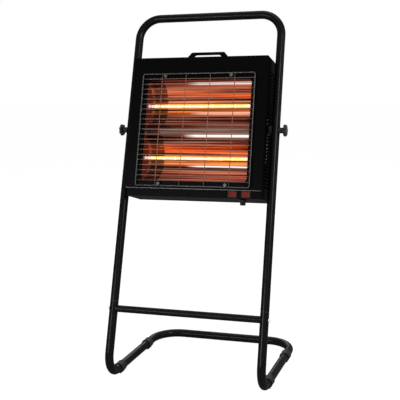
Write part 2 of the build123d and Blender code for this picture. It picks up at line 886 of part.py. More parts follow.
def make_handle():
    x = handle_w / 2
    top = z_top + handle_rise
    shoulder = top - handle_corner_h
    cut = x - handle_corner_w
    points = [(-x, z_top), (-x, shoulder), (-cut, top), (cut, top), (x, shoulder), (x, z_top)]
    face = make_face(Polyline(*points, close=True))
    slot_low = z_top + handle_t + handle_slot_lift
    slot_high = top - handle_bar
    slot = Pos(0, (slot_low + slot_high) / 2) * SlotOverall(handle_slot_w, slot_high - slot_low)
    plate = Pos(0, handle_y(), 0) * Rot(90, 0, 0) * extrude(face - slot, handle_t / 2, both=True)
    y0 = handle_y() - handle_t / 2
    foot = block(-x, x, y0, y0 + handle_foot + handle_t, z_top, z_top + handle_t)
    d = handle_screw_d + 2 * screw_hole_gap
    for sign in (-1, 1):
        foot -= rod_z(sign * handle_screw_x, handle_screw_y(), z_top - 1, z_top + 2 * handle_t, d)
    return plate + foot


def make_handle_screws():
    seat = z_top + handle_t
    y = handle_screw_y()
    screw = rod_z(handle_screw_x, y, seat - handle_screw_length, seat, handle_screw_d)
    top = seat + handle_screw_d * button_head_t
    head = rod_z(handle_screw_x, y, seat, top, handle_screw_d * button_head_w)
    screw += fillet(head.edges().group_by(Axis.Z)[-1], handle_screw_d * button_head_round)
    return group([screw, mirrored(screw)])


def make_handle_nuts():
    z1 = z_top - sheet
    y = handle_screw_y()
    nut = nut_z(handle_screw_x, y, z1 - handle_nut_t, z1, handle_nut_across)
    nut -= rod_z(handle_screw_x, y, z_mid, z_top, handle_screw_d + 2 * stud_fit)
    return group([nut, mirrored(nut)])


def build_handle():
    parts["handle"] = make_handle()
    parts["handle_screws"] = make_handle_screws()
    parts["handle_nuts"] = make_handle_nuts()


# Cord gland, terminal block, earth stud and wiring

def gland_y():
    return y_front + gland_behind_front


def gland_bore():
    return rod_z(gland_x, gland_y(), 2 * z_bottom, 0, gland_bore_d)


def make_gland_body():
    y = gland_y()
    z_hex = z_bottom - gland_hex_t
    body = nut_z(gland_x, y, z_hex, z_bottom, gland_hex_across)
    z0 = z_hex - gland_nut_length * gland_thread_share
    body += rod_z(gland_x, y, z0, z_floor + gland_thread_above, gland_thread_d)
    return body - gland_bore()


def make_gland_nut():
    y = gland_y()
    z1 = z_bottom - gland_hex_t
    nut = rod_z(gland_x, y, z1 - gland_nut_length, z1, gland_nut_d)
    nut = fillet(nut.edges().group_by(Axis.Z)[0], gland_nut_d * gland_nut_round)
    low = z1 - gland_nut_length * gland_thread_share - gland_fit
    cup = rod_z(gland_x, y, low, z1 + 1, gland_thread_d + 2 * gland_fit)
    return nut - cup - gland_bore()


def make_gland_lock():
    y = gland_y()
    nut = nut_z(gland_x, y, z_floor, z_floor + gland_lock_t, gland_hex_across)
    return nut - rod_z(gland_x, y, z_bottom, 0, gland_thread_d + 2 * gland_fit)


def block_y():
    return y_front + block_behind_front


def block_screw_places():
    return [block_x - block_screw_pitch / 2, block_x + block_screw_pitch / 2]


def make_terminal_block():
    y = block_y()
    x = block_w / 2
    half = block_depth / 2
    body = block(block_x - x, block_x + x, y - half, y + half, z_floor, z_floor + block_h)
    for i in (-1, 0, 1):
        crest = wire_pitch * i + block_x
        body -= block(crest - wire_d, crest + wire_d, y - half * block_slot_w, y + half * block_slot_w,
                      z_floor + block_h * block_slot_from, z_floor + block_h + 1)
    depth = block_screw_length - sheet + screw_hole_gap
    for x in block_screw_places():
        body -= rod_z(x, y, z_bottom, z_floor + depth, block_screw_d + 2 * stud_fit)
    return body


def make_block_screws():
    y = block_y()
    screws = []
    for x in block_screw_places():
        screw = rod_z(x, y, z_bottom, z_bottom + block_screw_length, block_screw_d)
        low = z_bottom - block_screw_d * pan_head_t
        head = rod_z(x, y, low, z_bottom, block_screw_d * pan_head_w)
        screws.append(screw + fillet(head.edges().group_by(Axis.Z)[0], block_screw_d * pan_head_round))
    return group(screws)


def make_earth_stud():
    y = block_y()
    stud = rod_z(earth_x, y, z_floor, z_floor + earth_length, earth_d)
    nut = nut_z(earth_x, y, z_floor, z_floor + earth_d * earth_nut_t, earth_d * earth_nut_across)
    nut -= rod_z(earth_x, y, z_bottom, 0, earth_d + 2 * stud_fit)
    return group([stud, nut])


def wire(points):
    corners = [Vector(*p) for p in points]
    radii = []
    for a, b, c in zip(corners, corners[1:], corners[2:]):
        turn = math.radians((b - a).get_angle(c - b))
        shorter = min((b - a).length, (c - b).length)
        radii.append(wire_bend_share * shorter / math.tan(turn / 2))
    path = FilletPolyline(*corners, radius=radii)
    return sweep(Plane(path @ 0, z_dir=path % 0) * Circle(wire_d / 2), path=path)


def make_wiring():
    heights = lamp_heights()
    switches = switch_places()
    tab_y = strip_y + housing_depth + tab_length
    tab_z = switch_z()
    block_z = z_floor + block_h / 2
    front = block_y() - block_depth / 2
    rear = block_y() + block_depth / 2
    x_left = block_x - wire_pitch
    x_right = block_x + wire_pitch
    tab = tab_pitch / 2
    side = (holder_end() + inner_half) / 2
    end = holder_end()
    behind = mirror_back + wire_run_behind
    past_plate = mirror_back + end_plate_rise + wire_d / 2 + wire_plate_gap
    low = switches["left"]
    high = switches["right"]
    step = side - wire_side_step
    out_rear = rear + wire_rear_exit
    routes = [
        [(x_left, front, block_z), (x_left, front - wire_exit, block_z),
         (low + tab, tab_y + wire_tab_exit, tab_z), (low + tab, tab_y, tab_z)],
        [(block_x, front, block_z), (block_x, front - wire_exit, block_z),
         (high - tab, tab_y + wire_tab_exit, tab_z), (high - tab, tab_y, tab_z)],
        [(low - tab, tab_y, tab_z), (low - tab, behind - wire_exit, tab_z),
         (low + wire_spread, behind, z_bottom + wire_climb), (step, behind, wire_rise_from),
         (step, behind, wire_rise_to), (side, lamp_y, heights["upper"]), (end, lamp_y, heights["upper"])],
        [(high + tab, tab_y, tab_z), (high + tab, tab_y + wire_tab_exit + wire_side_step, tab_z),
         (side - wire_layer, past_plate, z_bottom + wire_high_lift),
         (side, past_plate - wire_exit, heights["lower"] - wire_high_lift),
         (side, lamp_y, heights["lower"]), (end, lamp_y, heights["lower"])],
        [(x_left, rear, block_z), (x_left, out_rear, block_z),
         (x_left - wire_spread, out_rear, block_z + wire_low_lift), (0, out_rear, block_z + wire_low_lift),
         (-low, behind + wire_layer, block_z + wire_mid_lift), (-step, behind, wire_rise_from),
         (-step, behind, wire_rise_to), (-side, lamp_y, heights["upper"]), (-end, lamp_y, heights["upper"])],
        [(x_right, rear, block_z), (x_right, out_rear, block_z),
         (x_right - wire_exit, out_rear, block_z + wire_mid_lift),
         (0, out_rear - wire_layer, block_z + wire_high_lift),
         (-low, behind, block_z + wire_high_lift), (-side, past_plate, heights["lower"] - wire_mid_lift),
         (-side, lamp_y, heights["lower"]), (-end, lamp_y, heights["lower"])],
    ]
    return group([wire(route) for route in routes])


def build_wiring():
    parts["gland_body"] = make_gland_body()
    parts["gland_nut"] = make_gland_nut()
    parts["gland_lock_nut"] = make_gland_lock()
    parts["terminal_block"] = make_terminal_block()
    parts["terminal_block_screws"] = make_block_screws()
    parts["earth_stud"] = make_earth_stud()
    parts["wiring"] = make_wiring()


def build_head():
    parts["casing"] = make_casing()
    parts["back_cover"] = make_back_cover()
    parts["back_cover_screws"] = make_back_screws()
    parts["front_panel"] = make_front_panel()
    build_switches()
    build_lamps()
    build_guard()
    build_handle()
    build_wiring()


build_head()
for name in parts:
    parts[name] = head_place * parts[name]
build_stand()
build_pivots()

os.makedirs("parts", exist_ok=True)
for name, shape in parts.items():
    export_step(shape, f"parts/{name}.step")
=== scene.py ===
import bpy
import json
import math
from mathutils import Matrix, Vector


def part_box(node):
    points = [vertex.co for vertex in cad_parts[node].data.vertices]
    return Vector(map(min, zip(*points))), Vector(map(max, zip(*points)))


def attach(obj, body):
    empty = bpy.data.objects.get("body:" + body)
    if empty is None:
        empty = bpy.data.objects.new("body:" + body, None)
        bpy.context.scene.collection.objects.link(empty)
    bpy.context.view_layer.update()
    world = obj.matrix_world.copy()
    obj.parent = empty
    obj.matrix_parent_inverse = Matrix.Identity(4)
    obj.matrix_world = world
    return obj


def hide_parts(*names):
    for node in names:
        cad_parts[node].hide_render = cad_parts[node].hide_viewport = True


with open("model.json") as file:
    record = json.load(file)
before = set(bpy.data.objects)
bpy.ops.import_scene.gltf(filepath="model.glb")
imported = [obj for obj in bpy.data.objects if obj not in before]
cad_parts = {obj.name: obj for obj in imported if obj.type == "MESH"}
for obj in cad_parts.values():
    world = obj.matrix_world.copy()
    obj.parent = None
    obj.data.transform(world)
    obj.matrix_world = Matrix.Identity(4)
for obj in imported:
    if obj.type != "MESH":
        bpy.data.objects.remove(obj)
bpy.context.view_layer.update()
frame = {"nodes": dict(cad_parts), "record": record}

nodes = frame["nodes"]
print("heater frame loaded:", len(nodes), "nodes")

# The head tilts about this point of the stand, and leans back at rest
headPivot = Vector((0, 0.004291, 0.711673))
headLean = math.radians(-15.7)
headTurn = Matrix.Rotation(headLean, 4, "X")
headMatrix = Matrix.Translation(headPivot) @ headTurn

# The uprights lean about the middle of the foot bends
standFoot = Vector((0, -0.22191, 0.0155))
standLean = math.radians(-18)
standMatrix = Matrix.Translation(standFoot) @ Matrix.Rotation(standLean, 4, "X")


# Camera

cameraValues = {
    "place": (0.795, -2.3199, 0.914),
    "yaw": 18.451,
    "pitch": -5.108,
    "roll": -1.351,
    "lens": 74.58,
    "shift": (-0.019, -0.1606),
}


def placeCamera(values):
    yaw = math.radians(values["yaw"])
    pitch = math.radians(values["pitch"])
    roll = math.radians(values["roll"])
    ahead = Vector((-math.sin(yaw) * math.cos(pitch), math.cos(yaw) * math.cos(pitch), math.sin(pitch)))
    right = Vector((math.cos(yaw), math.sin(yaw), 0))
    up = right.cross(ahead)
    rightRolled = right * math.cos(roll) + up * math.sin(roll)
    upRolled = up * math.cos(roll) - right * math.sin(roll)
    turn = Matrix((rightRolled, upRolled, -ahead)).transposed().to_4x4()
    data = bpy.data.cameras.new("viewCamera")
    camera = bpy.data.objects.new("viewCamera", data)
    bpy.context.scene.collection.objects.link(camera)
    camera.matrix_world = Matrix.Translation(values["place"]) @ turn
    data.sensor_width = 36
    data.lens = values["lens"]
    data.shift_x, data.shift_y = values["shift"]
    data.clip_end = 60
    bpy.context.scene.camera = camera


placeCamera(cameraValues)
bpy.context.scene.view_settings.view_transform = "Standard"


# Shader helpers

def feed(tree, node, values):
    # A socket is linked to the input of that name or number, any other value is set there
    for key, value in values.items():
        if isinstance(value, bpy.types.NodeSocket):
            tree.links.new(value, node.inputs[key])
        else:
            node.inputs[key].default_value = value


def addNode(tree, kind, values, **settings):
    node = tree.nodes.new("ShaderNode" + kind)
    for key, value in settings.items():
        setattr(node, key, value)
    feed(tree, node, values)
    return node


def reckon(tree, operation, *values):
    return addNode(tree, "Math", dict(enumerate(values)), operation=operation).outputs[0]


def spread(tree, value, low, high, fromLow=0.0, fromHigh=1.0):
    ranges = {"Value": value, "From Min": fromLow, "From Max": fromHigh, "To Min": low, "To Max": high}
    return addNode(tree, "MapRange", ranges).outputs["Result"]


def opaque(color):
    return (*color, 1) if isinstance(color, tuple) else color


def mixColor(tree, mask, first, second):
    values = {"Factor": mask, "A": opaque(first), "B": opaque(second)}
    return addNode(tree, "Mix", values, data_type="RGBA").outputs["Result"]


def scaled(tree, color, factor):
    return addNode(tree, "VectorMath", {0: color, "Scale": factor}, operation="SCALE").outputs[0]


def ramp(tree, value, stops):
    node = addNode(tree, "ValToRGB", {"Fac": value})
    elements = node.color_ramp.elements
    while len(elements) < len(stops):
        elements.new(0.5)
    for element, (position, color) in zip(elements, stops):
        element.position = position
        element.color = (*color, 1)
    return node.outputs["Color"]


def coordinate(tree, name):
    return addNode(tree, "TexCoord", {}).outputs[name]


def split(tree, vector):
    return list(addNode(tree, "SeparateXYZ", {0: vector}).outputs)


def stretched(tree, place, scale, shift=(0, 0, 0)):
    return addNode(tree, "Mapping", {"Vector": place, "Location": shift, "Scale": scale}).outputs["Vector"]


def noise(tree, place, scale, detail, roughness=0.5):
    values = {"Vector": place, "Scale": scale, "Detail": detail, "Roughness": roughness}
    return addNode(tree, "TexNoise", values).outputs["Fac"]


def bumpFrom(tree, shader, height, strength, distance):
    bump = addNode(tree, "Bump", {"Strength": strength, "Distance": distance, "Height": height})
    feed(tree, shader, {"Normal": bump.outputs["Normal"]})


def newMaterial(name):
    material = bpy.data.materials.new(name)
    material.use_nodes = True
    tree = material.node_tree
    return material, tree, tree.nodes["Principled BSDF"]


# Room: world, floor and lamps

roomValues = {
    "fill": 0.33,
    "floorSize": 30,
    "floorColor": (0.86, 0.86, 0.86, 1),
    "floorRough": 0.9,
    "floorSpecular": 0.1,
    "floorWhite": 0.92,
    "whiteStrength": 1.05,
    "aim": (0, 0, 0.6),
    "lamps": [
        ("rightStrip", (2.0, -1.9, 1.95), (0.45, 1.2), 78),
        ("frontStrip", (-1.2, -3.05, 1.0), (1.0, 0.34), 56),
        ("rightSoftbox", (2.8, 0.4, 1.6), (1.2, 1.8), 22),
        ("topSoftbox", (0.1, 0.3, 3.1), (2.2, 1.2), 45),
        ("backSoftbox", (-0.9, 2.6, 1.6), (1.2, 1.2), 45),
    ],
}


def makeWorld(values):
    # A soft fill as light, and plain white wherever the camera or a clear or shiny piece looks
    world = bpy.data.worlds.new("studioWorld")
    bpy.context.scene.world = world
    world.use_nodes = True
    tree = world.node_tree
    tree.nodes.clear()
    rays = addNode(tree, "LightPath", {}).outputs
    fill = addNode(tree, "Background", {"Color": (1, 1, 1, 1), "Strength": values["fill"]})
    white = addNode(tree, "Background", {"Color": (1, 1, 1, 1), "Strength": 1})
    clear = reckon(tree, "MAXIMUM", rays["Is Glossy Ray"], rays["Is Transmission Ray"])
    seen = reckon(tree, "MAXIMUM", rays["Is Camera Ray"], clear)
    mix = addNode(tree, "MixShader", {"Fac": seen, 1: fill.outputs[0], 2: white.outputs[0]})
    addNode(tree, "OutputWorld", {"Surface": mix.outputs[0]})


def makeFloor(values):
    bpy.ops.object.select_all(action="DESELECT")
    bpy.ops.mesh.primitive_plane_add(size=values["floorSize"], location=(0, 0, 0))
    floor = bpy.context.object
    floor.name = "studioFloor"
    material, tree, shader = newMaterial("paleFloor")
    feed(tree, shader, {
        "Base Color": values["floorColor"],
        "Roughness": values["floorRough"],
        "Specular IOR Level": values["floorSpecular"],
    })
    seen = addNode(tree, "LightPath", {}).outputs["Is Camera Ray"]
    share = reckon(tree, "MULTIPLY", seen, values["floorWhite"])
    white = addNode(tree, "Emission", {"Strength": values["whiteStrength"]})
    mix = addNode(tree, "MixShader", {"Fac": share, 1: shader.outputs[0], 2: white.outputs[0]})
    feed(tree, tree.nodes["Material Output"], {"Surface": mix.outputs[0]})
    floor.data.materials.append(material)


def makeLamps(values):
    aim = Vector(values["aim"])
    for name, place, size, power in values["lamps"]:
        data = bpy.data.lights.new(name, "AREA")
        data.shape = "RECTANGLE"
        data.size, data.size_y = size
        data.energy = power
        lamp = bpy.data.objects.new(name, data)
        lamp.location = place
        lamp.rotation_euler = (aim - Vector(place)).to_track_quat("-Z", "Y").to_euler()
        bpy.context.scene.collection.objects.link(lamp)


makeWorld(roomValues)
makeFloor(roomValues)
makeLamps(roomValues)
print("camera, floor and lamps in place")


# Effects that several finishes share

def newGroup(name, inputs, *outputs):
    group = bpy.data.node_groups.new(name, "ShaderNodeTree")
    for label, value in inputs.items():
        socket = group.interface.new_socket(name=label, in_out="INPUT", socket_type="NodeSocketFloat")
        socket.default_value = value
    for label in outputs:
        group.interface.new_socket(name=label, in_out="OUTPUT", socket_type="NodeSocketFloat")
    return group, group.nodes.new("NodeGroupInput").outputs, group.nodes.new("NodeGroupOutput")


def useGroup(tree, group, **values):
    node = tree.nodes.new("ShaderNodeGroup")
    node.node_tree = group
    feed(tree, node, values)
    return node.outputs


def makeOrangePeel():
    group, given, end = newGroup("orangePeel", {"Scale": 900.0, "Fine": 0.3}, "Height", "Mask")
    place = coordinate(group, "Object")
    wide = noise(group, place, given["Scale"], 1.5)
    fine = noise(group, place, reckon(group, "MULTIPLY", given["Scale"], 3.7), 1)
    mix = addNode(group, "Mix", {"Factor": given["Fine"], "A": wide, "B": fine})
    feed(group, end, {"Height": mix.outputs["Result"], "Mask": wide})
    return group


def makeHandling():
    # Faint rubbed patches, the wear a workshop leaves
    group, given, end = newGroup("handlingMarks", {"Scale": 9.0, "Spread": 0.55}, "Mask")
    patch = noise(group, coordinate(group, "Object"), given["Scale"], 6, 0.62)
    feed(group, end, {"Mask": spread(group, patch, 0, 1, given["Spread"], 0.86)})
    return group


def makeDust():
    # Dust on what looks up in the piece's own space
    group, given, end = newGroup("settledDust", {"Scale": 40.0, "Amount": 0.2}, "Mask")
    upward = spread(group, split(group, coordinate(group, "Normal"))[2], 0, 1, 0.35, 1)
    cloud = noise(group, coordinate(group, "Object"), given["Scale"], 5)
    both = reckon(group, "MULTIPLY", upward, cloud)
    feed(group, end, {"Mask": reckon(group, "MULTIPLY", both, given["Amount"])})
    return group


orangePeel = makeOrangePeel()
handlingMarks = makeHandling()
settledDust = makeDust()


def facing(tree, direction):
    # 1 where the surface looks along direction, which is given in the piece's own space
    values = {0: coordinate(tree, "Normal"), 1: direction}
    dot = addNode(tree, "VectorMath", values, operation="DOT_PRODUCT")
    return spread(tree, dot.outputs["Value"], 0, 1, -0.04, 0.04)


def headSpace(tree):
    # Object coordinates turned into the head's own upright frame
    values = {"Vector": coordinate(tree, "Object"), "Location": headPivot, "Rotation": (headLean, 0, 0)}
    return addNode(tree, "Mapping", values, vector_type="TEXTURE").outputs["Vector"]


# Paint, plastic, rubber and ceramic: what differs from coatDefaults

dustColor = (0.08, 0.077, 0.07)

coatDefaults = {
    "color": (0.005, 0.005, 0.0055),
    "worn": (0.011, 0.011, 0.011),
    "rough": (0.4, 0.55),
    "specular": 0.12,
    "coat": 0,
    "coatRough": 0.2,
    "bump": 0.2,
    "depth": 0.0001,
    "dust": 0.1,
}

coatValues = {
    "standPaint": {
        "color": (0.002, 0.002, 0.0022), "worn": (0.005, 0.005, 0.0052), "rough": (0.3, 0.4),
        "specular": 0, "coat": 0.09, "coatRough": 0.24, "grain": 700, "bump": 0.16, "depth": 0.00012,
    },
    "casingPaint": {
        "color": (0.0006, 0.0006, 0.0007), "worn": (0.0014, 0.0014, 0.0016), "rough": (0.3, 0.4),
        "specular": 0, "coat": 0.045, "coatRough": 0.3, "grain": 800, "depth": 0.00014, "dust": 0.12,
    },
    # A lighter, glossier copy of the black paint: a painted highlight on the panel hem and the tube seams
    "paintedHighlightEdge": {
        "color": (0.012, 0.012, 0.0125), "worn": (0.06, 0.06, 0.06), "rough": (0.3, 0.42),
        "specular": 0.25, "coat": 0.35, "coatRough": 0.3, "grain": 900,
    },
    "footRubber": {
        "worn": (0.016, 0.015, 0.014), "rough": (0.62, 0.85), "grain": 1500, "bump": 0.35,
        "depth": 0.0002, "dust": 0.3,
    },
    "knobPlastic": {"grain": 2200, "bump": 0.4, "dust": 0.12},
    "nylon": {"worn": (0.012, 0.012, 0.012), "rough": (0.42, 0.6), "grain": 1600, "dust": 0.12},
    "switchPlastic": {"worn": (0.01, 0.01, 0.01), "rough": (0.28, 0.4), "grain": 2400, "depth": 0.00006},
    "glandNylon": {"grain": 1900, "bump": 0.25},
    "blackScrew": {
        "color": (0.02, 0.02, 0.022), "worn": (0.12, 0.12, 0.12), "rough": (0.28, 0.42), "specular": 0.6,
        "grain": 2600, "depth": 0.00005, "dust": 0.08,
    },
    "terminalPlastic": {
        "color": (0.62, 0.60, 0.54), "worn": (0.5, 0.48, 0.42), "specular": 0.45, "grain": 1400,
        "bump": 0.15, "dust": 0.05,
    },
    "wireSleeve": {
        "color": (0.55, 0.53, 0.48), "worn": (0.42, 0.4, 0.36), "rough": (0.55, 0.75), "specular": 0.35,
        "grain": 1500, "bump": 0.5, "depth": 0.0002, "dust": 0.05,
    },
    "ceramic": {
        "color": (0.78, 0.75, 0.68), "worn": (0.6, 0.56, 0.48), "rough": (0.42, 0.62), "specular": 0.5,
        "grain": 1800, "bump": 0.3,
    },
}


def makeCoat(name, values):
    material, tree, shader = newMaterial(name)
    grain = useGroup(tree, orangePeel, Scale=values["grain"])
    marks = useGroup(tree, handlingMarks)["Mask"]
    dust = useGroup(tree, settledDust, Amount=values["dust"])["Mask"]
    worn = mixColor(tree, marks, values["color"], values["worn"])
    rubbed = reckon(tree, "MULTIPLY_ADD", marks, 0.5, grain["Mask"])
    feed(tree, shader, {
        "Base Color": mixColor(tree, dust, worn, dustColor),
        "Roughness": spread(tree, rubbed, *values["rough"], 0.25, 1.0),
        "Specular IOR Level": values["specular"],
        "Coat Weight": values["coat"],
        "Coat Roughness": values["coatRough"],
    })
    bumpFrom(tree, shader, grain["Height"], values["bump"], values["depth"])
    return material


# Bare metal. The guard is dull chromed wire, with a painted orange glow where it crosses the opening,
# standing in for the lamps' light from behind

metalValues = {
    "zincSteel": {
        "color": (0.56, 0.56, 0.54), "stain": (0.36, 0.35, 0.32), "rough": (0.26, 0.45), "grain": 1200,
        "bump": 0.15,
    },
    "chromedWire": {
        "color": (0.1, 0.097, 0.094), "stain": (0.055, 0.047, 0.04), "rough": (0.25, 0.42),
        "grain": 1600, "bump": 0.08,
    },
}

guardValues = {
    "color": (0.034, 0.033, 0.032),
    "stain": (0.022, 0.019, 0.016),
    "rough": (0.25, 0.42),
    "grain": 1600,
    "bump": 0.08,
    "halfWidth": 0.158,
    "low": -0.156,
    "high": 0.142,
    "soft": 0.006,
    "postPitch": 0.075,
    "postHalf": 0.0014,
    # Painted glow colours for the bars and the posts over the opening
    "paintedBarGlow": (0.2, 0.075, 0.045),
    "paintedPostGlow": (0.17, 0.03, 0.01),
}


def newMetal(name, values):
    material, tree, shader = newMaterial(name)
    grain = useGroup(tree, orangePeel, Scale=values["grain"])
    marks = useGroup(tree, handlingMarks, Scale=22, Spread=0.5)["Mask"]
    feed(tree, shader, {
        "Base Color": mixColor(tree, marks, values["color"], values["stain"]),
        "Roughness": spread(tree, grain["Mask"], *values["rough"], 0.3, 0.7),
        "Metallic": 1,
    })
    bumpFrom(tree, shader, grain["Height"], values["bump"], 0.0001)
    return material, tree, shader


def within(tree, value, middle, half, soft):
    # 1 inside the middle plus or minus half, 0 outside, with a soft edge
    size = reckon(tree, "ABSOLUTE", reckon(tree, "SUBTRACT", value, middle))
    return spread(tree, size, 1, 0, half - soft, half + soft)


def makeGuardWire(values):
    material, tree, shader = newMetal("guardWire", values)
    x, y, z = split(tree, headSpace(tree))
    middle = (values["low"] + values["high"]) / 2
    wide = within(tree, x, 0, values["halfWidth"], values["soft"])
    tall = within(tree, z, middle, values["high"] - middle, values["soft"])
    # Ten and a half pitches keep the folded coordinate above zero and a post at its low point
    pitch = values["postPitch"]
    folded = reckon(tree, "PINGPONG", reckon(tree, "ADD", x, pitch * 10.5), pitch / 2)
    isPost = spread(tree, folded, 1, 0, values["postHalf"] * 0.8, values["postHalf"])
    # Painted glow of the lamps' light on the wire, only inside the opening
    paintedBackGlow = mixColor(tree, isPost, values["paintedBarGlow"], values["paintedPostGlow"])
    feed(tree, shader, {
        "Emission Color": scaled(tree, paintedBackGlow, reckon(tree, "MULTIPLY", wide, tall)),
        "Emission Strength": 1,
    })
    return material


finishes = {name: makeCoat(name, {**coatDefaults, **values}) for name, values in coatValues.items()}
finishes.update({name: newMetal(name, values)[0] for name, values in metalValues.items()})


# Reflectors: polished sheet with the lamps' glow painted into it. Each folded facet has its own painted
# reflection colour, the left end has painted shade from its end plate, and painted highlights stand at some
# bends where the studio light would catch them

mirrorValues = {
    "halfLength": 0.166,
    "low": -0.17,
    "high": 0.15,
    # Painted reflection colour of the lamps' glow on each facet, by height
    "paintedFacetTones": [
        (-0.170, (0.11, 0.014, 0.008)), (-0.150, (0.24, 0.032, 0.014)), (-0.131, (0.38, 0.065, 0.028)),
        (-0.124, (0.50, 0.20, 0.13)), (-0.121, (0.17, 0.04, 0.022)), (-0.110, (0.20, 0.055, 0.03)),
        (-0.104, (0.68, 0.15, 0.04)), (-0.088, (0.80, 0.26, 0.055)), (-0.078, (0.66, 0.20, 0.085)),
        (-0.068, (0.60, 0.15, 0.055)), (-0.063, (0.62, 0.07, 0.009)), (-0.043, (0.56, 0.06, 0.008)),
        (-0.038, (0.08, 0.013, 0.008)), (-0.027, (0.11, 0.026, 0.018)), (-0.016, (0.24, 0.11, 0.08)),
        (-0.012, (0.21, 0.155, 0.135)), (-0.005, (0.2, 0.15, 0.13)), (0.001, (0.09, 0.008, 0.004)),
        (0.017, (0.10, 0.010, 0.005)), (0.021, (0.16, 0.028, 0.016)), (0.027, (0.05, 0.007, 0.004)),
        (0.039, (0.07, 0.010, 0.006)), (0.043, (0.20, 0.055, 0.028)), (0.055, (0.70, 0.14, 0.026)),
        (0.074, (0.80, 0.27, 0.045)), (0.079, (0.66, 0.20, 0.09)), (0.092, (0.60, 0.16, 0.065)),
        (0.095, (0.70, 0.09, 0.013)), (0.105, (0.62, 0.075, 0.011)), (0.110, (0.60, 0.11, 0.035)),
        (0.122, (0.50, 0.115, 0.05)), (0.140, (0.14, 0.026, 0.014)),
    ],
    # Painted shade along the sheet: dark at the left end by its end plate, full towards the right
    "across": [
        (0.0, 0.5), (0.012, 0.4), (0.03, 0.14), (0.145, 0.2), (0.156, 0.85), (0.42, 1.0),
        (0.8, 1.0), (1.0, 0.85),
    ],
    # Painted highlights at the bends: height and half width, their colour and glow, and the x where they
    # start
    "bands": [(0.1355, 0.0036), (0.053, 0.0036), (-0.0222, 0.0055), (-0.1065, 0.0042)],
    "paintedHighlightColor": (0.1, 0.097, 0.095),
    "paintedHighlightGlow": (1.7, 1.5, 1.4),
    "bandFrom": -0.046,
    "bandTo": -0.006,
    "streaks": (0.02, 2.25),
    "streakCut": (0.38, 0.66),
    "streakScale": (2.4, 30, 190),
    # Painted reflection lines along the sheet
    "paintedLineColor": (0.8, 0.36, 0.24),
    "lineShare": 0.55,
    "lineCut": (0.6, 0.7),
    "lineScale": (1.6, 20, 210),
    "lineShift": (0.7, 0, 3.1),
    "rough": (0.22, 0.38),
    "mirrored": 0.05,
    "backColor": (0.3, 0.3, 0.29),
    "glow": 0.8,
    # Painted reflections of the lamp ends: middle and half size in x and z, and their colour
    "spots": [((-0.121, 0.099), (0.011, 0.0022)), ((-0.143, 0.096), (0.004, 0.0016)),
              ((-0.124, -0.050), (0.012, 0.0022))],
    "paintedSpotColor": (0.75, 0.13, 0.02),
}


def bandStops(values):
    # A narrow white painted highlight at each bend, black between
    length = values["high"] - values["low"]
    stops = [(0, (0, 0, 0))]
    for height, half in sorted(values["bands"]):
        place = (height - values["low"]) / length
        wide = half / length
        stops += [(place - wide, (0, 0, 0)), (place, (1, 1, 1)), (place + wide, (0, 0, 0))]
    return stops


def addLines(tree, place, across, shaded, values):
    # Thin painted reflection lines that run along the sheet, fading in the painted shade at its left end
    lines = noise(tree, stretched(tree, place, values["lineScale"], values["lineShift"]), 1, 1)
    share = spread(tree, lines, 0, values["lineShare"], *values["lineCut"])
    return mixColor(tree, reckon(tree, "MULTIPLY", share, across), shaded, values["paintedLineColor"])


def addSpots(tree, x, z, lined, values):
    # Painted reflections of the hot lamp ends in the painted shade at the left end of each trough
    for middle, half in values["spots"]:
        far = []
        for socket, place, size in zip((x, z), middle, half):
            off = reckon(tree, "DIVIDE", reckon(tree, "SUBTRACT", socket, place), size)
            far.append(reckon(tree, "POWER", off, 2))
        mask = spread(tree, reckon(tree, "ADD", *far), 1, 0)
        lined = mixColor(tree, mask, lined, values["paintedSpotColor"])
    return lined


def makeMirror(values):
    material, tree, shader = newMaterial("polishedAluminium")
    place = headSpace(tree)
    x, y, z = split(tree, place)
    half = values["halfLength"]
    length = values["high"] - values["low"]
    height = spread(tree, z, 0, 1, values["low"], values["high"])
    # Painted reflections, by height
    paintedTone = ramp(tree, height, [((at - values["low"]) / length, color) for at, color in values["paintedFacetTones"]])
    grain = noise(tree, stretched(tree, place, values["streakScale"]), 1, 4)
    along = spread(tree, x, 0, 1, -half, half)
    # Painted shade along the sheet
    across = ramp(tree, along, [(at, (share, share, share)) for at, share in values["across"]])
    streak = spread(tree, grain, *values["streaks"], *values["streakCut"])
    shaded = scaled(tree, paintedTone, reckon(tree, "MULTIPLY", streak, across))
    lined = addLines(tree, place, across, shaded, values)
    # Painted highlights at the bends, faded in from the left
    started = spread(tree, x, 0, 1, values["bandFrom"], values["bandTo"])
    paintedHighlightMask = reckon(tree, "MULTIPLY", ramp(tree, height, bandStops(values)), started)
    base = mixColor(tree, paintedHighlightMask, scaled(tree, lined, values["mirrored"]), values["paintedHighlightColor"])
    glow = mixColor(tree, paintedHighlightMask, addSpots(tree, x, z, lined, values), values["paintedHighlightGlow"])
    inner = facing(tree, headTurn @ Vector((0, -1, 0)))
    # On the inner face the painted colours are also given off as a painted glow
    feed(tree, shader, {
        "Base Color": mixColor(tree, inner, values["backColor"], base),
        "Emission Color": scaled(tree, glow, inner),
        "Emission Strength": values["glow"],
        "Metallic": 1,
        "Roughness": spread(tree, grain, *values["rough"], 0.3, 0.7),
    })
    peel = useGroup(tree, orangePeel, Scale=240, Fine=0.2)
    bumpFrom(tree, shader, peel["Height"], 0.12, 0.0006)
    return material


# End plates of the troughs: painted light at the front edge, painted shade behind it, and a painted glow on
# the inner face

endPlateValues = {
    "front": -0.0435,
    "fade": -0.036,
    # Painted light at the front edge and painted shade behind it
    "edge": (0.62, 0.09, 0.025),
    "shade": (0.075, 0.012, 0.006),
    "uneven": (0.5, 1.5),
    "glow": 0.8,
    "rough": (0.25, 0.4),
}


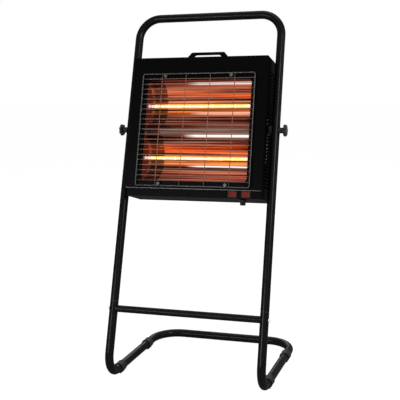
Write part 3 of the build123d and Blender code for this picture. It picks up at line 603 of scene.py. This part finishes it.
def makeEndSheet(values):
    material, tree, shader = newMaterial("endPlateSheet")
    x, y, z = split(tree, headSpace(tree))
    grain = useGroup(tree, orangePeel, Scale=260)
    marks = useGroup(tree, handlingMarks, Scale=30, Spread=0.4)["Mask"]
    # Painted light at the front edge fades into painted shade deeper in
    deep = spread(tree, y, 0, 1, values["front"], values["fade"])
    paintedTone = mixColor(tree, deep, values["edge"], values["shade"])
    uneven = scaled(tree, paintedTone, spread(tree, grain["Mask"], *values["uneven"], 0.3, 0.7))
    # On the inner face the normal's x and the place's x have opposite signs; only there the painted colour
    # is also given off as a painted glow
    turned = reckon(tree, "MULTIPLY", split(tree, coordinate(tree, "Normal"))[0], x)
    feed(tree, shader, {
        "Base Color": uneven,
        "Emission Color": scaled(tree, uneven, spread(tree, turned, 1, 0, -0.01, 0.0)),
        "Emission Strength": values["glow"],
        "Metallic": 1,
        "Roughness": spread(tree, marks, *values["rough"]),
    })
    bumpFrom(tree, shader, grain["Height"], 0.12, 0.0005)
    return material


# Lamp ends: white ceramic with a painted glow that stands in for the lamp's light on it

lampCeramicValues = {
    "color": (0.8, 0.74, 0.66),
    "stain": (0.5, 0.42, 0.33),
    # Painted glow of the lamp's light, dimmer on the stained patches
    "glow": (0.5, 0.24, 0.15),
    "stainGlow": (0.35, 0.1, 0.05),
    "strength": 0.8,
    "rough": (0.4, 0.6),
}


def makeLampCeramic(values):
    material, tree, shader = newMaterial("lampCeramic")
    grain = useGroup(tree, orangePeel, Scale=1800)
    marks = useGroup(tree, handlingMarks, Scale=60, Spread=0.45)["Mask"]
    feed(tree, shader, {
        "Base Color": mixColor(tree, marks, values["color"], values["stain"]),
        "Emission Color": mixColor(tree, marks, values["glow"], values["stainGlow"]),
        "Emission Strength": values["strength"],
        "Roughness": spread(tree, grain["Mask"], *values["rough"], 0.3, 0.7),
    })
    bumpFrom(tree, shader, grain["Height"], 0.3, 0.0001)
    return material


# Quartz: clear tube, a little milky at its ends, with a painted orange glow of the filament's light along
# it and a paler painted glow at its ends

quartzValues = {
    "rough": (0.02, 0.5),
    "milkyEnds": (0.143, 0.153),
    # Painted glow of the filament's light in the glass, paler at the ends
    "glow": (1.0, 0.30, 0.035),
    "endGlow": (0.55, 0.38, 0.3),
    "glowEnds": (0.138, 0.147),
    "strength": 0.8,
    "bend": 1.46,
    "ripple": 260,
}


def makeQuartz(values):
    material, tree, shader = newMaterial("quartz")
    place = coordinate(tree, "Object")
    size = reckon(tree, "ABSOLUTE", split(tree, place)[0])
    cold = spread(tree, size, 0, 1, *values["glowEnds"])
    feed(tree, shader, {
        "Roughness": spread(tree, size, *values["rough"], *values["milkyEnds"]),
        "Emission Color": mixColor(tree, cold, values["glow"], values["endGlow"]),
        "Emission Strength": values["strength"],
        "Transmission Weight": 1,
        "IOR": values["bend"],
    })
    bumpFrom(tree, shader, noise(tree, place, values["ripple"], 2), 0.05, 0.0004)
    return material


tungstenValues = {
    "color": (0.3, 0.28, 0.26, 1),
    "hot": (1.0, 0.55, 0.2),
    "cold": (0.05, 0.01, 0.003),
    "ends": (0.137, 0.1415),
    "strength": 12,
    "rough": (0.3, 0.5),
}


def makeTungsten(values):
    material, tree, shader = newMaterial("glowingTungsten")
    size = reckon(tree, "ABSOLUTE", split(tree, coordinate(tree, "Object"))[0])
    grain = useGroup(tree, orangePeel, Scale=2600)
    cold = spread(tree, size, 0, 1, *values["ends"])
    feed(tree, shader, {
        "Base Color": values["color"],
        "Emission Color": mixColor(tree, cold, values["hot"], values["cold"]),
        "Emission Strength": values["strength"],
        "Metallic": 1,
        "Roughness": spread(tree, grain["Mask"], *values["rough"]),
    })
    bumpFrom(tree, shader, grain["Height"], 0.2, 0.00005)
    return material


# Rockers: red plastic, a little worn

rockerValues = {
    "color": (0.075, 0.008, 0.006),
    "worn": (0.055, 0.008, 0.006),
    "rough": (0.2, 0.36),
    "specular": 0.1,
}


def makeRocker(values):
    material, tree, shader = newMaterial("redRocker")
    grain = useGroup(tree, orangePeel, Scale=900)
    marks = useGroup(tree, handlingMarks, Scale=60, Spread=0.5)["Mask"]
    feed(tree, shader, {
        "Base Color": mixColor(tree, marks, values["color"], values["worn"]),
        "Roughness": spread(tree, marks, *values["rough"]),
        "Specular IOR Level": values["specular"],
    })
    bumpFrom(tree, shader, grain["Height"], 0.06, 0.0001)
    return material


finishes["guardWire"] = makeGuardWire(guardValues)
finishes["polishedAluminium"] = makeMirror(mirrorValues)
finishes["endPlateSheet"] = makeEndSheet(endPlateValues)
finishes["lampCeramic"] = makeLampCeramic(lampCeramicValues)
finishes["quartz"] = makeQuartz(quartzValues)
finishes["glowingTungsten"] = makeTungsten(tungstenValues)
finishes["redRocker"] = makeRocker(rockerValues)


# Which finish each material slot of the record shows
slotFinish = {
    "stand_paint": "standPaint",
    "casing_paint": "casingPaint",
    "foot_rubber": "footRubber",
    "zinc_steel": "zincSteel",
    "black_screw": "blackScrew",
    "nylon": "nylon",
    "knob_plastic": "knobPlastic",
    "polished_aluminium": "polishedAluminium",
    "quartz": "quartz",
    "tungsten": "glowingTungsten",
    "ceramic": "ceramic",
    "chromed_wire": "chromedWire",
    "switch_plastic": "switchPlastic",
    "red_rocker": "redRocker",
    "gland_nylon": "glandNylon",
    "terminal_plastic": "terminalPlastic",
    "wire_insulation": "wireSleeve",
}


# Nodes whose finish differs from the others in their slot
nodeFinish = {
    "guard": "guardWire",
    "end_plate_left": "endPlateSheet",
    "end_plate_right": "endPlateSheet",
    "lamp_caps_upper": "lampCeramic",
    "lamp_caps_lower": "lampCeramic",
}


def dressNodes():
    for part in frame["record"]["subparts"]:
        name = nodeFinish.get(part["node"], slotFinish[part["material_slot"]])
        finish = finishes[name]
        node = nodes[part["node"]]
        for slot in node.material_slots:
            slot.material = finish
        if not node.material_slots:
            node.data.materials.append(finish)


dressNodes()
print("finishes on the CAD nodes")


# Modelling helpers

def objectMode():
    bpy.ops.object.mode_set(mode="OBJECT")


def editMode():
    bpy.ops.object.mode_set(mode="EDIT")


def editAll():
    editMode()
    bpy.ops.mesh.select_all(action="SELECT")


def bevelEdges(offset, segments):
    bpy.ops.mesh.bevel(offset=offset, segments=segments, affect="EDGES")


def rename(piece, name):
    piece.name = name
    piece.data.name = name


def pickFaces(piece, test):
    editMode()
    bpy.ops.mesh.select_mode(type="FACE")
    bpy.ops.mesh.select_all(action="DESELECT")
    objectMode()
    for face in piece.data.polygons:
        face.select = test(face.center, face.normal)
    editMode()


def pickEdges(piece, test):
    editMode()
    bpy.ops.mesh.select_mode(type="EDGE")
    bpy.ops.mesh.select_all(action="DESELECT")
    objectMode()
    points = piece.data.vertices
    for edge in piece.data.edges:
        edge.select = test(points[edge.vertices[0]].co, points[edge.vertices[1]].co)
    editMode()


def deselectAll():
    bpy.ops.object.select_all(action="DESELECT")


def makeActive(piece):
    deselectAll()
    piece.select_set(True)
    bpy.context.view_layer.objects.active = piece


def applyModifier(piece, kind, name, **settings):
    makeActive(piece)
    modifier = piece.modifiers.new(name, kind)
    for key, value in settings.items():
        setattr(modifier, key, value)
    bpy.ops.object.modifier_apply(modifier=name)


def smoothEdges(piece, angle=32):
    makeActive(piece)
    bpy.ops.object.shade_smooth_by_angle(angle=math.radians(angle))


def putInPlace(piece, matrix):
    # The finished piece sits at the origin, its place is in its mesh
    piece.data.transform(matrix @ piece.matrix_world)
    piece.matrix_world = Matrix.Identity(4)


def copyTo(piece, matrix):
    other = piece.copy()
    other.data = piece.data.copy()
    bpy.context.scene.collection.objects.link(other)
    other.data.transform(matrix)
    return other


def joinAll(pieces, name):
    makeActive(pieces[0])
    for piece in pieces:
        piece.select_set(True)
    if len(pieces) > 1:
        bpy.ops.object.join()
    whole = bpy.context.object
    rename(whole, name)
    return whole


def dropPiece(piece):
    bpy.data.objects.remove(piece)


def cutWith(piece, tool):
    applyModifier(piece, "BOOLEAN", "cut", operation="DIFFERENCE", solver="EXACT", object=tool)
    dropPiece(tool)


def reachOut(corner, factor):
    # Moves a corner towards the z axis or away from it
    corner.x *= factor
    corner.y *= factor


def finishPiece(piece, body, slotName, finish, *replaced):
    piece.data.materials.clear()
    piece.data.materials.append(finishes[finish])
    if replaced:
        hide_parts(*replaced)
    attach(piece, body)


def looseBoxes(nodeName, matrix):
    # Lowest and highest corner of each separate solid of a node, in the frame that matrix leads to
    mesh = nodes[nodeName].data
    groups = {}
    points = [tuple(round(c, 6) for c in vertex.co) for vertex in mesh.vertices]

    def root(point):
        while groups.setdefault(point, point) != point:
            groups[point] = groups[groups[point]]
            point = groups[point]
        return point

    for face in mesh.polygons:
        first = root(points[face.vertices[0]])
        for index in face.vertices[1:]:
            groups[root(points[index])] = first
    parts = {}
    for vertex, point in zip(mesh.vertices, points):
        parts.setdefault(root(point), []).append(matrix @ vertex.co)
    boxes = []
    for corners in parts.values():
        low = Vector([min(c[i] for c in corners) for i in range(3)])
        high = Vector([max(c[i] for c in corners) for i in range(3)])
        boxes.append((low, high))
    return sorted(boxes, key=lambda box: tuple(round(c, 4) for c in box[0]))


# Screws: head with a rounded rim, cross recess and a shank

screwValues = {
    "guard_screws": {"head": 0.009, "thick": 0.0024, "round": 0.0011, "shank": 0.004, "axis": "-Y"},
    "back_cover_screws": {"head": 0.008, "thick": 0.0024, "round": 0.001, "shank": 0.004, "axis": "Y"},
    "handle_screws": {"head": 0.0095, "thick": 0.00275, "round": 0.001, "shank": 0.005, "axis": "Z"},
    "terminal_block_screws": {"head": 0.008, "thick": 0.0024, "round": 0.001, "shank": 0.004, "axis": "-Z"},
    "crossbar_screws": {"head": 0.0114, "thick": 0.0033, "round": 0.0012, "shank": 0.006, "axis": "X"},
    "joint_screws": {"head": 0.0095, "thick": 0.00275, "round": 0.001, "shank": 0.005, "axis": "Y"},
    "recessSpan": 0.58,
    "recessWidth": 0.15,
    "recessDepth": 0.55,
    "recessTaper": 0.7,
    "shankTaper": 0.8,
    "twistStep": 37,
    "sides": 28,
}

# From the z axis of a turned piece to the way it points
screwTurns = {
    "Z": Matrix.Identity(4),
    "-Z": Matrix.Rotation(math.pi, 4, "X"),
    "Y": Matrix.Rotation(-math.pi / 2, 4, "X"),
    "-Y": Matrix.Rotation(math.pi / 2, 4, "X"),
    "X": Matrix.Rotation(math.pi / 2, 4, "Y"),
    "-X": Matrix.Rotation(-math.pi / 2, 4, "Y"),
}


def crossCutter(head, thick, values):
    span = head * values["recessSpan"]
    width = head * values["recessWidth"]
    depth = thick * values["recessDepth"]
    arms = []
    for size in ((span, width), (width, span)):
        deselectAll()
        bpy.ops.mesh.primitive_cube_add(size=1, location=(0, 0, thick))
        arm = bpy.context.object
        arm.scale = (*size, 2 * depth)
        bpy.ops.object.transform_apply()
        pickFaces(arm, lambda center, normal: normal.z < -0.9)
        bpy.ops.transform.resize(value=(values["recessTaper"], values["recessTaper"], 1))
        objectMode()
        arms.append(arm)
    return arms


def makeScrew(length, size, values):
    # Head from z 0 to its thickness, shank below
    head = size["head"]
    thick = size["thick"]
    deselectAll()
    bpy.ops.mesh.primitive_cylinder_add(
        vertices=values["sides"], radius=head / 2, depth=thick,
        location=(0, 0, thick / 2))
    screw = bpy.context.object
    bpy.ops.object.transform_apply()
    pickEdges(screw, lambda a, b: a.z > thick * 0.9 and b.z > thick * 0.9)
    bevelEdges(size["round"], 3)
    pickFaces(screw, lambda center, normal: normal.z < -0.9)
    bpy.ops.mesh.inset(thickness=(head - size["shank"]) / 2, depth=0)
    bpy.ops.mesh.extrude_region_move(TRANSFORM_OT_translate={"value": (0, 0, -length)})
    bpy.ops.transform.resize(value=(values["shankTaper"], values["shankTaper"], 1))
    objectMode()
    for arm in crossCutter(head, thick, values):
        cutWith(screw, arm)
    smoothEdges(screw)
    return screw


def makeScrewSet(nodeName, frameMatrix, body, slotName, finish, values, twist):
    size = values[nodeName]
    axis = size["axis"]
    column = "XYZ".index(axis[-1])
    boxes = looseBoxes(nodeName, frameMatrix.inverted())
    low, high = boxes[0]
    length = high[column] - low[column] - size["thick"]
    model = makeScrew(length, size, values)
    copies = []
    for number, (low, high) in enumerate(boxes):
        middle = (low + high) / 2
        outward = axis
        if nodeName == "crossbar_screws":
            outward = "X" if middle.x > 0 else "-X"
        sign = -1 if outward[0] == "-" else 1
        outer = high[column] if sign > 0 else low[column]
        seat = middle.copy()
        seat[column] = outer - sign * size["thick"]
        turn = Matrix.Rotation(math.radians(twist + values["twistStep"] * number), 4, "Z")
        copies.append(copyTo(model, frameMatrix @ Matrix.Translation(seat) @ screwTurns[outward] @ turn))
    dropPiece(model)
    words = nodeName.split("_")
    whole = joinAll(copies, words[0] + "".join(word.title() for word in words[1:]))
    finishPiece(whole, body, slotName, finish, nodeName)


# Filaments: a wound coil, its support rings and straight ends

filamentValues = {
    "halfCoil": 0.141,
    "halfEnds": 0.1462,
    "coilRadius": 0.00108,
    "wireRadius": 0.00021,
    "pitch": 0.002,
    "stepsPerTurn": 9,
    "supports": 7,
    "supportRadius": 0.0037,
    "supportWire": 0.00015,
    "collar": 1.25,
    "tailRadius": 0.0004,
    "tailBevel": 0.0001,
    "heights": {"Upper": 0.070, "Lower": -0.088},
    "depth": -0.0135,
}


def makeFilament(which, values):
    half = values["halfCoil"]
    turns = round(2 * half / values["pitch"])
    deselectAll()
    bpy.ops.mesh.primitive_circle_add(
        vertices=5, radius=values["wireRadius"],
        rotation=(math.pi / 2, 0, 0), location=(values["coilRadius"], 0, 0))
    coil = bpy.context.object
    bpy.ops.object.transform_apply()
    applyModifier(coil, "SCREW", "wind", axis="Z", angle=2 * math.pi, screw_offset=values["pitch"],
                  iterations=turns, steps=values["stepsPerTurn"], render_steps=values["stepsPerTurn"],
                  use_merge_vertices=False, use_smooth_shade=True)
    pieces = [copyTo(coil, Matrix.Translation((-half, 0, 0)) @ Matrix.Rotation(math.pi / 2, 4, "Y"))]
    dropPiece(coil)
    for index in range(values["supports"]):
        x = -half + (index + 1) * 2 * half / (values["supports"] + 1)
        collar = values["coilRadius"] * values["collar"]
        for around, radius in ((20, values["supportRadius"]), (14, collar)):
            deselectAll()
            bpy.ops.mesh.primitive_torus_add(
                major_segments=around, minor_segments=6, location=(x, 0, 0),
                rotation=(0, math.pi / 2, 0), major_radius=radius,
                minor_radius=values["supportWire"])
            pieces.append(bpy.context.object)
    for side in (-1, 1):
        deselectAll()
        length = values["halfEnds"] - half
        bpy.ops.mesh.primitive_cylinder_add(
            vertices=10, radius=values["tailRadius"], depth=length,
            location=(side * (half + length / 2), 0, 0),
            rotation=(0, math.pi / 2, 0))
        tail = bpy.context.object
        pickEdges(tail, lambda a, b: abs(a.z - b.z) < 1e-6)
        bevelEdges(values["tailBevel"], 1)
        objectMode()
        pieces.append(tail)
    for piece in pieces:
        putInPlace(piece, Matrix.Identity(4))
    whole = joinAll(pieces, "filament" + which)
    editAll()
    bpy.ops.mesh.normals_make_consistent(inside=False)
    objectMode()
    middle = (0, values["depth"], values["heights"][which])
    putInPlace(whole, headMatrix @ Matrix.Translation(middle))
    bpy.ops.object.shade_smooth()
    finishPiece(whole, "head", "tungsten", "glowingTungsten", "lamp_filament_" + which.lower())


# Star knobs: rounded lobes, a sunk face with a cap, a ribbed hub

knobValues = {
    "radius": 0.0175,
    "lobes": 7,
    "notchRadius": 0.006,
    "notchOut": 0.55,
    "notchBlend": 3200,
    "thick": 0.0085,
    "edge": 0.0017,
    "around": 112,
    "startShare": 0.9,
    "rimUp": [(0.15, 1.05), (0.35, 1.04), (0.5, 1.0175)],
    "rimDown": [(0.5, 0.983), (0.35, 0.962), (0.15, 0.95)],
    "faceRadius": 0.0098,
    "faceRim": 0.0012,
    "faceSunk": 0.0011,
    "faceTaper": 0.97,
    "capRadius": 0.0082,
    "capSteps": [(0.0008, 0.96), (0.0002, 0.8), (0.0001, 0.4)],
    "hubRadius": 0.0085,
    "hubLength": 0.0098,
    "hubSunk": 0.001,
    "hubBevel": 0.0006,
    "turned": 0.2,
    "ribs": 14,
    "ribHeight": 0.0006,
}


def lobeRadius(angle, values):
    far = values["radius"] + values["notchRadius"] * values["notchOut"]
    step = 2 * math.pi / values["lobes"]
    off = (angle + step / 2) % step - step / 2
    inside = values["notchRadius"] ** 2 - (far * math.sin(off)) ** 2
    if inside <= 0:
        return values["radius"]
    cut = far * math.cos(off) - math.sqrt(inside)
    sharp = values["notchBlend"]
    return -math.log(math.exp(-sharp * cut) + math.exp(-sharp * values["radius"])) / sharp


def growRing(z, move, factor):
    # The picked face goes up by move and is scaled about the axis
    bpy.ops.mesh.extrude_region_move(TRANSFORM_OT_translate={"value": (0, 0, move)})
    bpy.ops.transform.resize(value=(factor, factor, 1), center_override=(0, 0, z + move))
    return z + move


def makeKnob(values):
    # Built along z: hub from 0, lobed head above it
    edge = values["edge"]
    deselectAll()
    bpy.ops.mesh.primitive_circle_add(
        vertices=values["around"], fill_type="NGON",
        radius=values["radius"] * values["startShare"],
        location=(0, 0, values["hubLength"]))
    knob = bpy.context.object
    bpy.ops.object.transform_apply()
    for vertex in knob.data.vertices:
        reach = lobeRadius(math.atan2(vertex.co.y, vertex.co.x), values) / values["radius"]
        reachOut(vertex.co, reach)
    editMode()
    bpy.ops.mesh.select_mode(type="FACE")
    bpy.ops.mesh.select_all(action="SELECT")
    z = values["hubLength"]
    for share, factor in values["rimUp"]:
        z = growRing(z, edge * share, factor)
    z = growRing(z, values["thick"] - 2 * edge, 1)
    for share, factor in values["rimDown"]:
        z = growRing(z, edge * share, factor)
    growRing(z, 0, 1)
    face = values["faceRadius"]
    makeRound(knob, face + values["faceRim"], z)
    growRing(z, 0, face / (face + values["faceRim"]))
    z = growRing(z, -values["faceSunk"], values["faceTaper"])
    growRing(z, 0, values["capRadius"] / (face * values["faceTaper"]))
    for move, factor in values["capSteps"]:
        z = growRing(z, move, factor)
    bpy.ops.mesh.select_all(action="SELECT")
    bpy.ops.mesh.normals_make_consistent(inside=False)
    objectMode()
    smoothEdges(knob, 40)
    return joinAll([knob, makeHub(values)], "starKnob")


def makeRound(piece, radius, height):
    # The picked face's corners go onto a circle
    objectMode()
    chosen = [face for face in piece.data.polygons if face.select]
    for face in chosen:
        for index in face.vertices:
            corner = piece.data.vertices[index].co
            reachOut(corner, radius / corner.xy.length)
            corner.z = height
    editMode()


def makeHub(values):
    deselectAll()
    length = values["hubLength"] + values["hubSunk"]
    bpy.ops.mesh.primitive_cylinder_add(
        vertices=values["ribs"] * 4, radius=values["hubRadius"],
        depth=length, location=(0, 0, length / 2))
    hub = bpy.context.object
    bpy.ops.object.transform_apply()
    for vertex in hub.data.vertices:
        angle = math.atan2(vertex.co.y, vertex.co.x)
        wave = 0.5 - 0.5 * math.cos(angle * values["ribs"])
        reach = 1 - values["ribHeight"] * wave / values["hubRadius"]
        reachOut(vertex.co, reach)
    pickEdges(hub, lambda a, b: a.z < 1e-6 and b.z < 1e-6)
    bevelEdges(values["hubBevel"], 2)
    objectMode()
    smoothEdges(hub, 50)
    return hub


def placeKnobs(values):
    model = makeKnob(values)
    for side, outward in (("left", "-X"), ("right", "X")):
        low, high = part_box("knob_" + side)
        middle = (low + high) / 2
        outer = high.x if side == "right" else low.x
        sign = 1 if side == "right" else -1
        seat = Vector((outer - sign * (values["hubLength"] + values["thick"]), middle.y, middle.z))
        turn = Matrix.Rotation(values["turned"], 4, "Z")
        knob = copyTo(model, Matrix.Translation(seat) @ screwTurns[outward] @ turn)
        rename(knob, "starKnob" + side.title())
        finishPiece(knob, "knob_" + side, "knob_plastic", "knobPlastic", "knob_" + side)
    dropPiece(model)


# Foot sleeves: moulded rubber with lips, a grooved waist and a flat tread

sleeveValues = {
    "bore": 0.01258,
    "outer": 0.01549,
    "waist": 0.0149,
    "lip": 0.0035,
    "round": 0.0007,
    "length": 0.028,
    "grooves": 5,
    "grooveDepth": 0.0004,
    "around": 56,
    "padWidth": 0.016,
    "padTop": 0.0098,
    "padShorter": 0.0004,
    "padCuts": 12,
    "treadPitch": 0.00216,
    "treadInset": 0.0001,
    "treadDepth": 0.0003,
    "boreSlack": 0.0006,
}


def sleeveProfile(values):
    half = values["length"] / 2
    edge = values["round"]
    lip = half - values["lip"]
    side = [(-half, values["outer"] - edge), (-half + edge, values["outer"]),
            (-lip - edge, values["outer"]), (-lip, values["waist"])]
    count = values["grooves"]
    pitch = 2 * lip / (count + 1)
    for index in range(count):
        y = -lip + (index + 1) * pitch
        depth = values["waist"] - values["grooveDepth"]
        side += [(y - edge, values["waist"]), (y - edge / 2, depth), (y + edge / 2, depth),
                 (y + edge, values["waist"])]
    side += [(lip, values["waist"]), (lip + edge, values["outer"]), (half - edge, values["outer"]),
             (half, values["outer"] - edge), (half, values["bore"]), (-half, values["bore"])]
    return side


def makeSleeve(values):
    profile = sleeveProfile(values)
    deselectAll()
    bpy.ops.mesh.primitive_circle_add(vertices=len(profile), radius=0.01)
    sleeve = bpy.context.object
    for vertex, (y, radius) in zip(sleeve.data.vertices, profile):
        vertex.co = (radius, y, 0)
    editAll()
    bpy.ops.mesh.spin(steps=values["around"], angle=2 * math.pi, center=(0, 0, 0), axis=(0, 1, 0))
    bpy.ops.mesh.select_all(action="SELECT")
    bpy.ops.mesh.remove_doubles(threshold=0.00001)
    bpy.ops.mesh.normals_make_consistent(inside=False)
    objectMode()
    smoothEdges(sleeve, 35)
    return sleeve


def makePad(values):
    # The tread below the ring, with its top inside the ring's wall
    low = -values["outer"]
    high = -values["padTop"]
    half = values["length"] / 2
    pitch = values["treadPitch"]
    deselectAll()
    bpy.ops.mesh.primitive_cube_add(size=1, location=(0, 0, (low + high) / 2))
    pad = bpy.context.object
    pad.scale = (values["padWidth"], values["length"] - values["padShorter"], high - low)
    bpy.ops.object.transform_apply()
    editAll()
    bpy.ops.mesh.subdivide(number_cuts=values["padCuts"])
    pickFaces(pad, lambda center, normal: normal.z < -0.9 and int((center.y + half) / pitch) % 2 == 1)
    bpy.ops.mesh.inset(thickness=values["treadInset"], depth=-values["treadDepth"])
    objectMode()
    cutWith(pad, makeBoreTool(values))
    return pad


def makeBoreTool(values):
    deselectAll()
    bpy.ops.mesh.primitive_cylinder_add(
        vertices=values["around"], depth=2 * values["length"],
        radius=values["bore"] + values["boreSlack"],
        rotation=(math.pi / 2, 0, 0))
    return bpy.context.object


def placeSleeves(values):
    model = joinAll([makeSleeve(values), makePad(values)], "footSleeve")
    for place in ("front_left", "front_right", "rear_left", "rear_right"):
        low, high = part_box("foot_sleeve_" + place)
        middle = (low + high) / 2
        sleeve = copyTo(model, Matrix.Translation(middle))
        rename(sleeve, "footSleeve" + place.title().replace("_", ""))
        finishPiece(sleeve, "stand", "foot_rubber", "footRubber", "foot_sleeve_" + place)
    dropPiece(model)


# Gland nut: ribbed grip under a flat, stepped end with a bore

glandValues = {
    "radius": 0.008,
    "length": 0.011,
    "bore": 0.00425,
    "ribs": 18,
    "ribHeight": 0.0006,
    "dome": 0.0022,
    "endInset": 0.0004,
    "endStep": 0.0009,
    "boreShare": 0.8,
}


def makeGlandNut(values):
    low, high = looseBoxes("gland_nut", headMatrix.inverted())[0]
    middle = (low + high) / 2
    deselectAll()
    bpy.ops.mesh.primitive_cylinder_add(
        vertices=values["ribs"] * 4, radius=values["radius"],
        depth=values["length"])
    nut = bpy.context.object
    for vertex in nut.data.vertices:
        angle = math.atan2(vertex.co.y, vertex.co.x)
        wave = 1 if math.cos(angle * values["ribs"]) > -0.1 else 0
        reach = 1 - values["ribHeight"] * (1 - wave) / values["radius"]
        reachOut(vertex.co, reach)
    bottom = -values["length"] / 2
    pickFaces(nut, lambda center, normal: normal.z < -0.9)
    bpy.ops.mesh.inset(thickness=values["endInset"], depth=0)
    makeRound(nut, values["radius"] - values["endStep"], bottom)
    bpy.ops.mesh.inset(thickness=values["dome"], depth=0)
    objectMode()
    pickFaces(nut, lambda center, normal: normal.z < -0.9 and center.xy.length < 0.001)
    makeRound(nut, values["bore"], bottom)
    deep = values["length"] * values["boreShare"]
    bpy.ops.mesh.extrude_region_move(TRANSFORM_OT_translate={"value": (0, 0, deep)})
    objectMode()
    smoothEdges(nut, 30)
    rename(nut, "glandNutDetail")
    putInPlace(nut, headMatrix @ Matrix.Translation(middle))
    finishPiece(nut, "head", "gland_nylon", "glandNylon", "gland_nut")


# Edges in a lighter, glossier paint as a painted highlight: the hem below the panel and a ring at each of
# the two tube seams

hemValues = {
    "halfLength": 0.2065,
    "front": -0.0513,
    "top": -0.1815,
    "thick": 0.0016,
    "tall": 0.0017,
    "round": 0.0007,
    "endBevel": 0.0002,
}

seamValues = {
    "side": 0.227,
    "along": 0.217,
    "radius": 0.01225,
    "wire": 0.00032,
    "around": 48,
    "taller": 1.6,
}


def makeHem(values):
    deselectAll()
    bpy.ops.mesh.primitive_cube_add(size=1)
    hem = bpy.context.object
    hem.scale = (2 * values["halfLength"], values["thick"], values["tall"])
    bpy.ops.object.transform_apply()
    pickEdges(hem, lambda a, b: a.y < 0 and b.y < 0 and a.z < 0 and b.z < 0)
    bevelEdges(values["round"], 5)
    pickEdges(hem, lambda a, b: a.x * b.x > 0 and abs(a.x - b.x) < 1e-6)
    bevelEdges(values["endBevel"], 1)
    objectMode()
    smoothEdges(hem)
    rename(hem, "panelHem")
    middle = Vector((0, values["front"] + values["thick"] / 2, values["top"] - values["tall"] / 2))
    putInPlace(hem, headMatrix @ Matrix.Translation(middle))
    finishPiece(hem, "head", "casing_paint", "paintedHighlightEdge")


def makeSeams(values):
    rings = []
    for side in (-1, 1):
        middle = (side * values["side"], 0, values["along"])
        deselectAll()
        bpy.ops.mesh.primitive_torus_add(
            major_segments=values["around"], minor_segments=8,
            major_radius=values["radius"], minor_radius=values["wire"],
            location=middle)
        ring = bpy.context.object
        editAll()
        bpy.ops.transform.resize(value=(1, 1, values["taller"]), center_override=middle)
        objectMode()
        putInPlace(ring, Matrix.Identity(4))
        rings.append(ring)
    whole = joinAll(rings, "tubeSeams")
    putInPlace(whole, standMatrix)
    smoothEdges(whole, 60)
    finishPiece(whole, "stand", "stand_paint", "paintedHighlightEdge")


makeHem(hemValues)
makeSeams(seamValues)
print("hem and tube seams made")

for nodeName, twist in (("guard", 20), ("back_cover", 15), ("handle", 30), ("terminal_block", 25)):
    makeScrewSet(nodeName + "_screws", headMatrix, "head", "black_screw", "blackScrew", screwValues, twist)
for nodeName, twist in (("crossbar", 10), ("joint", 40)):
    makeScrewSet(nodeName + "_screws", standMatrix, "stand", "zinc_steel", "zincSteel", screwValues, twist)
print("screws made")
for which in ("Upper", "Lower"):
    makeFilament(which, filamentValues)
print("filaments wound")
placeKnobs(knobValues)
placeSleeves(sleeveValues)
makeGlandNut(glandValues)
print("knobs, foot sleeves and gland nut made")
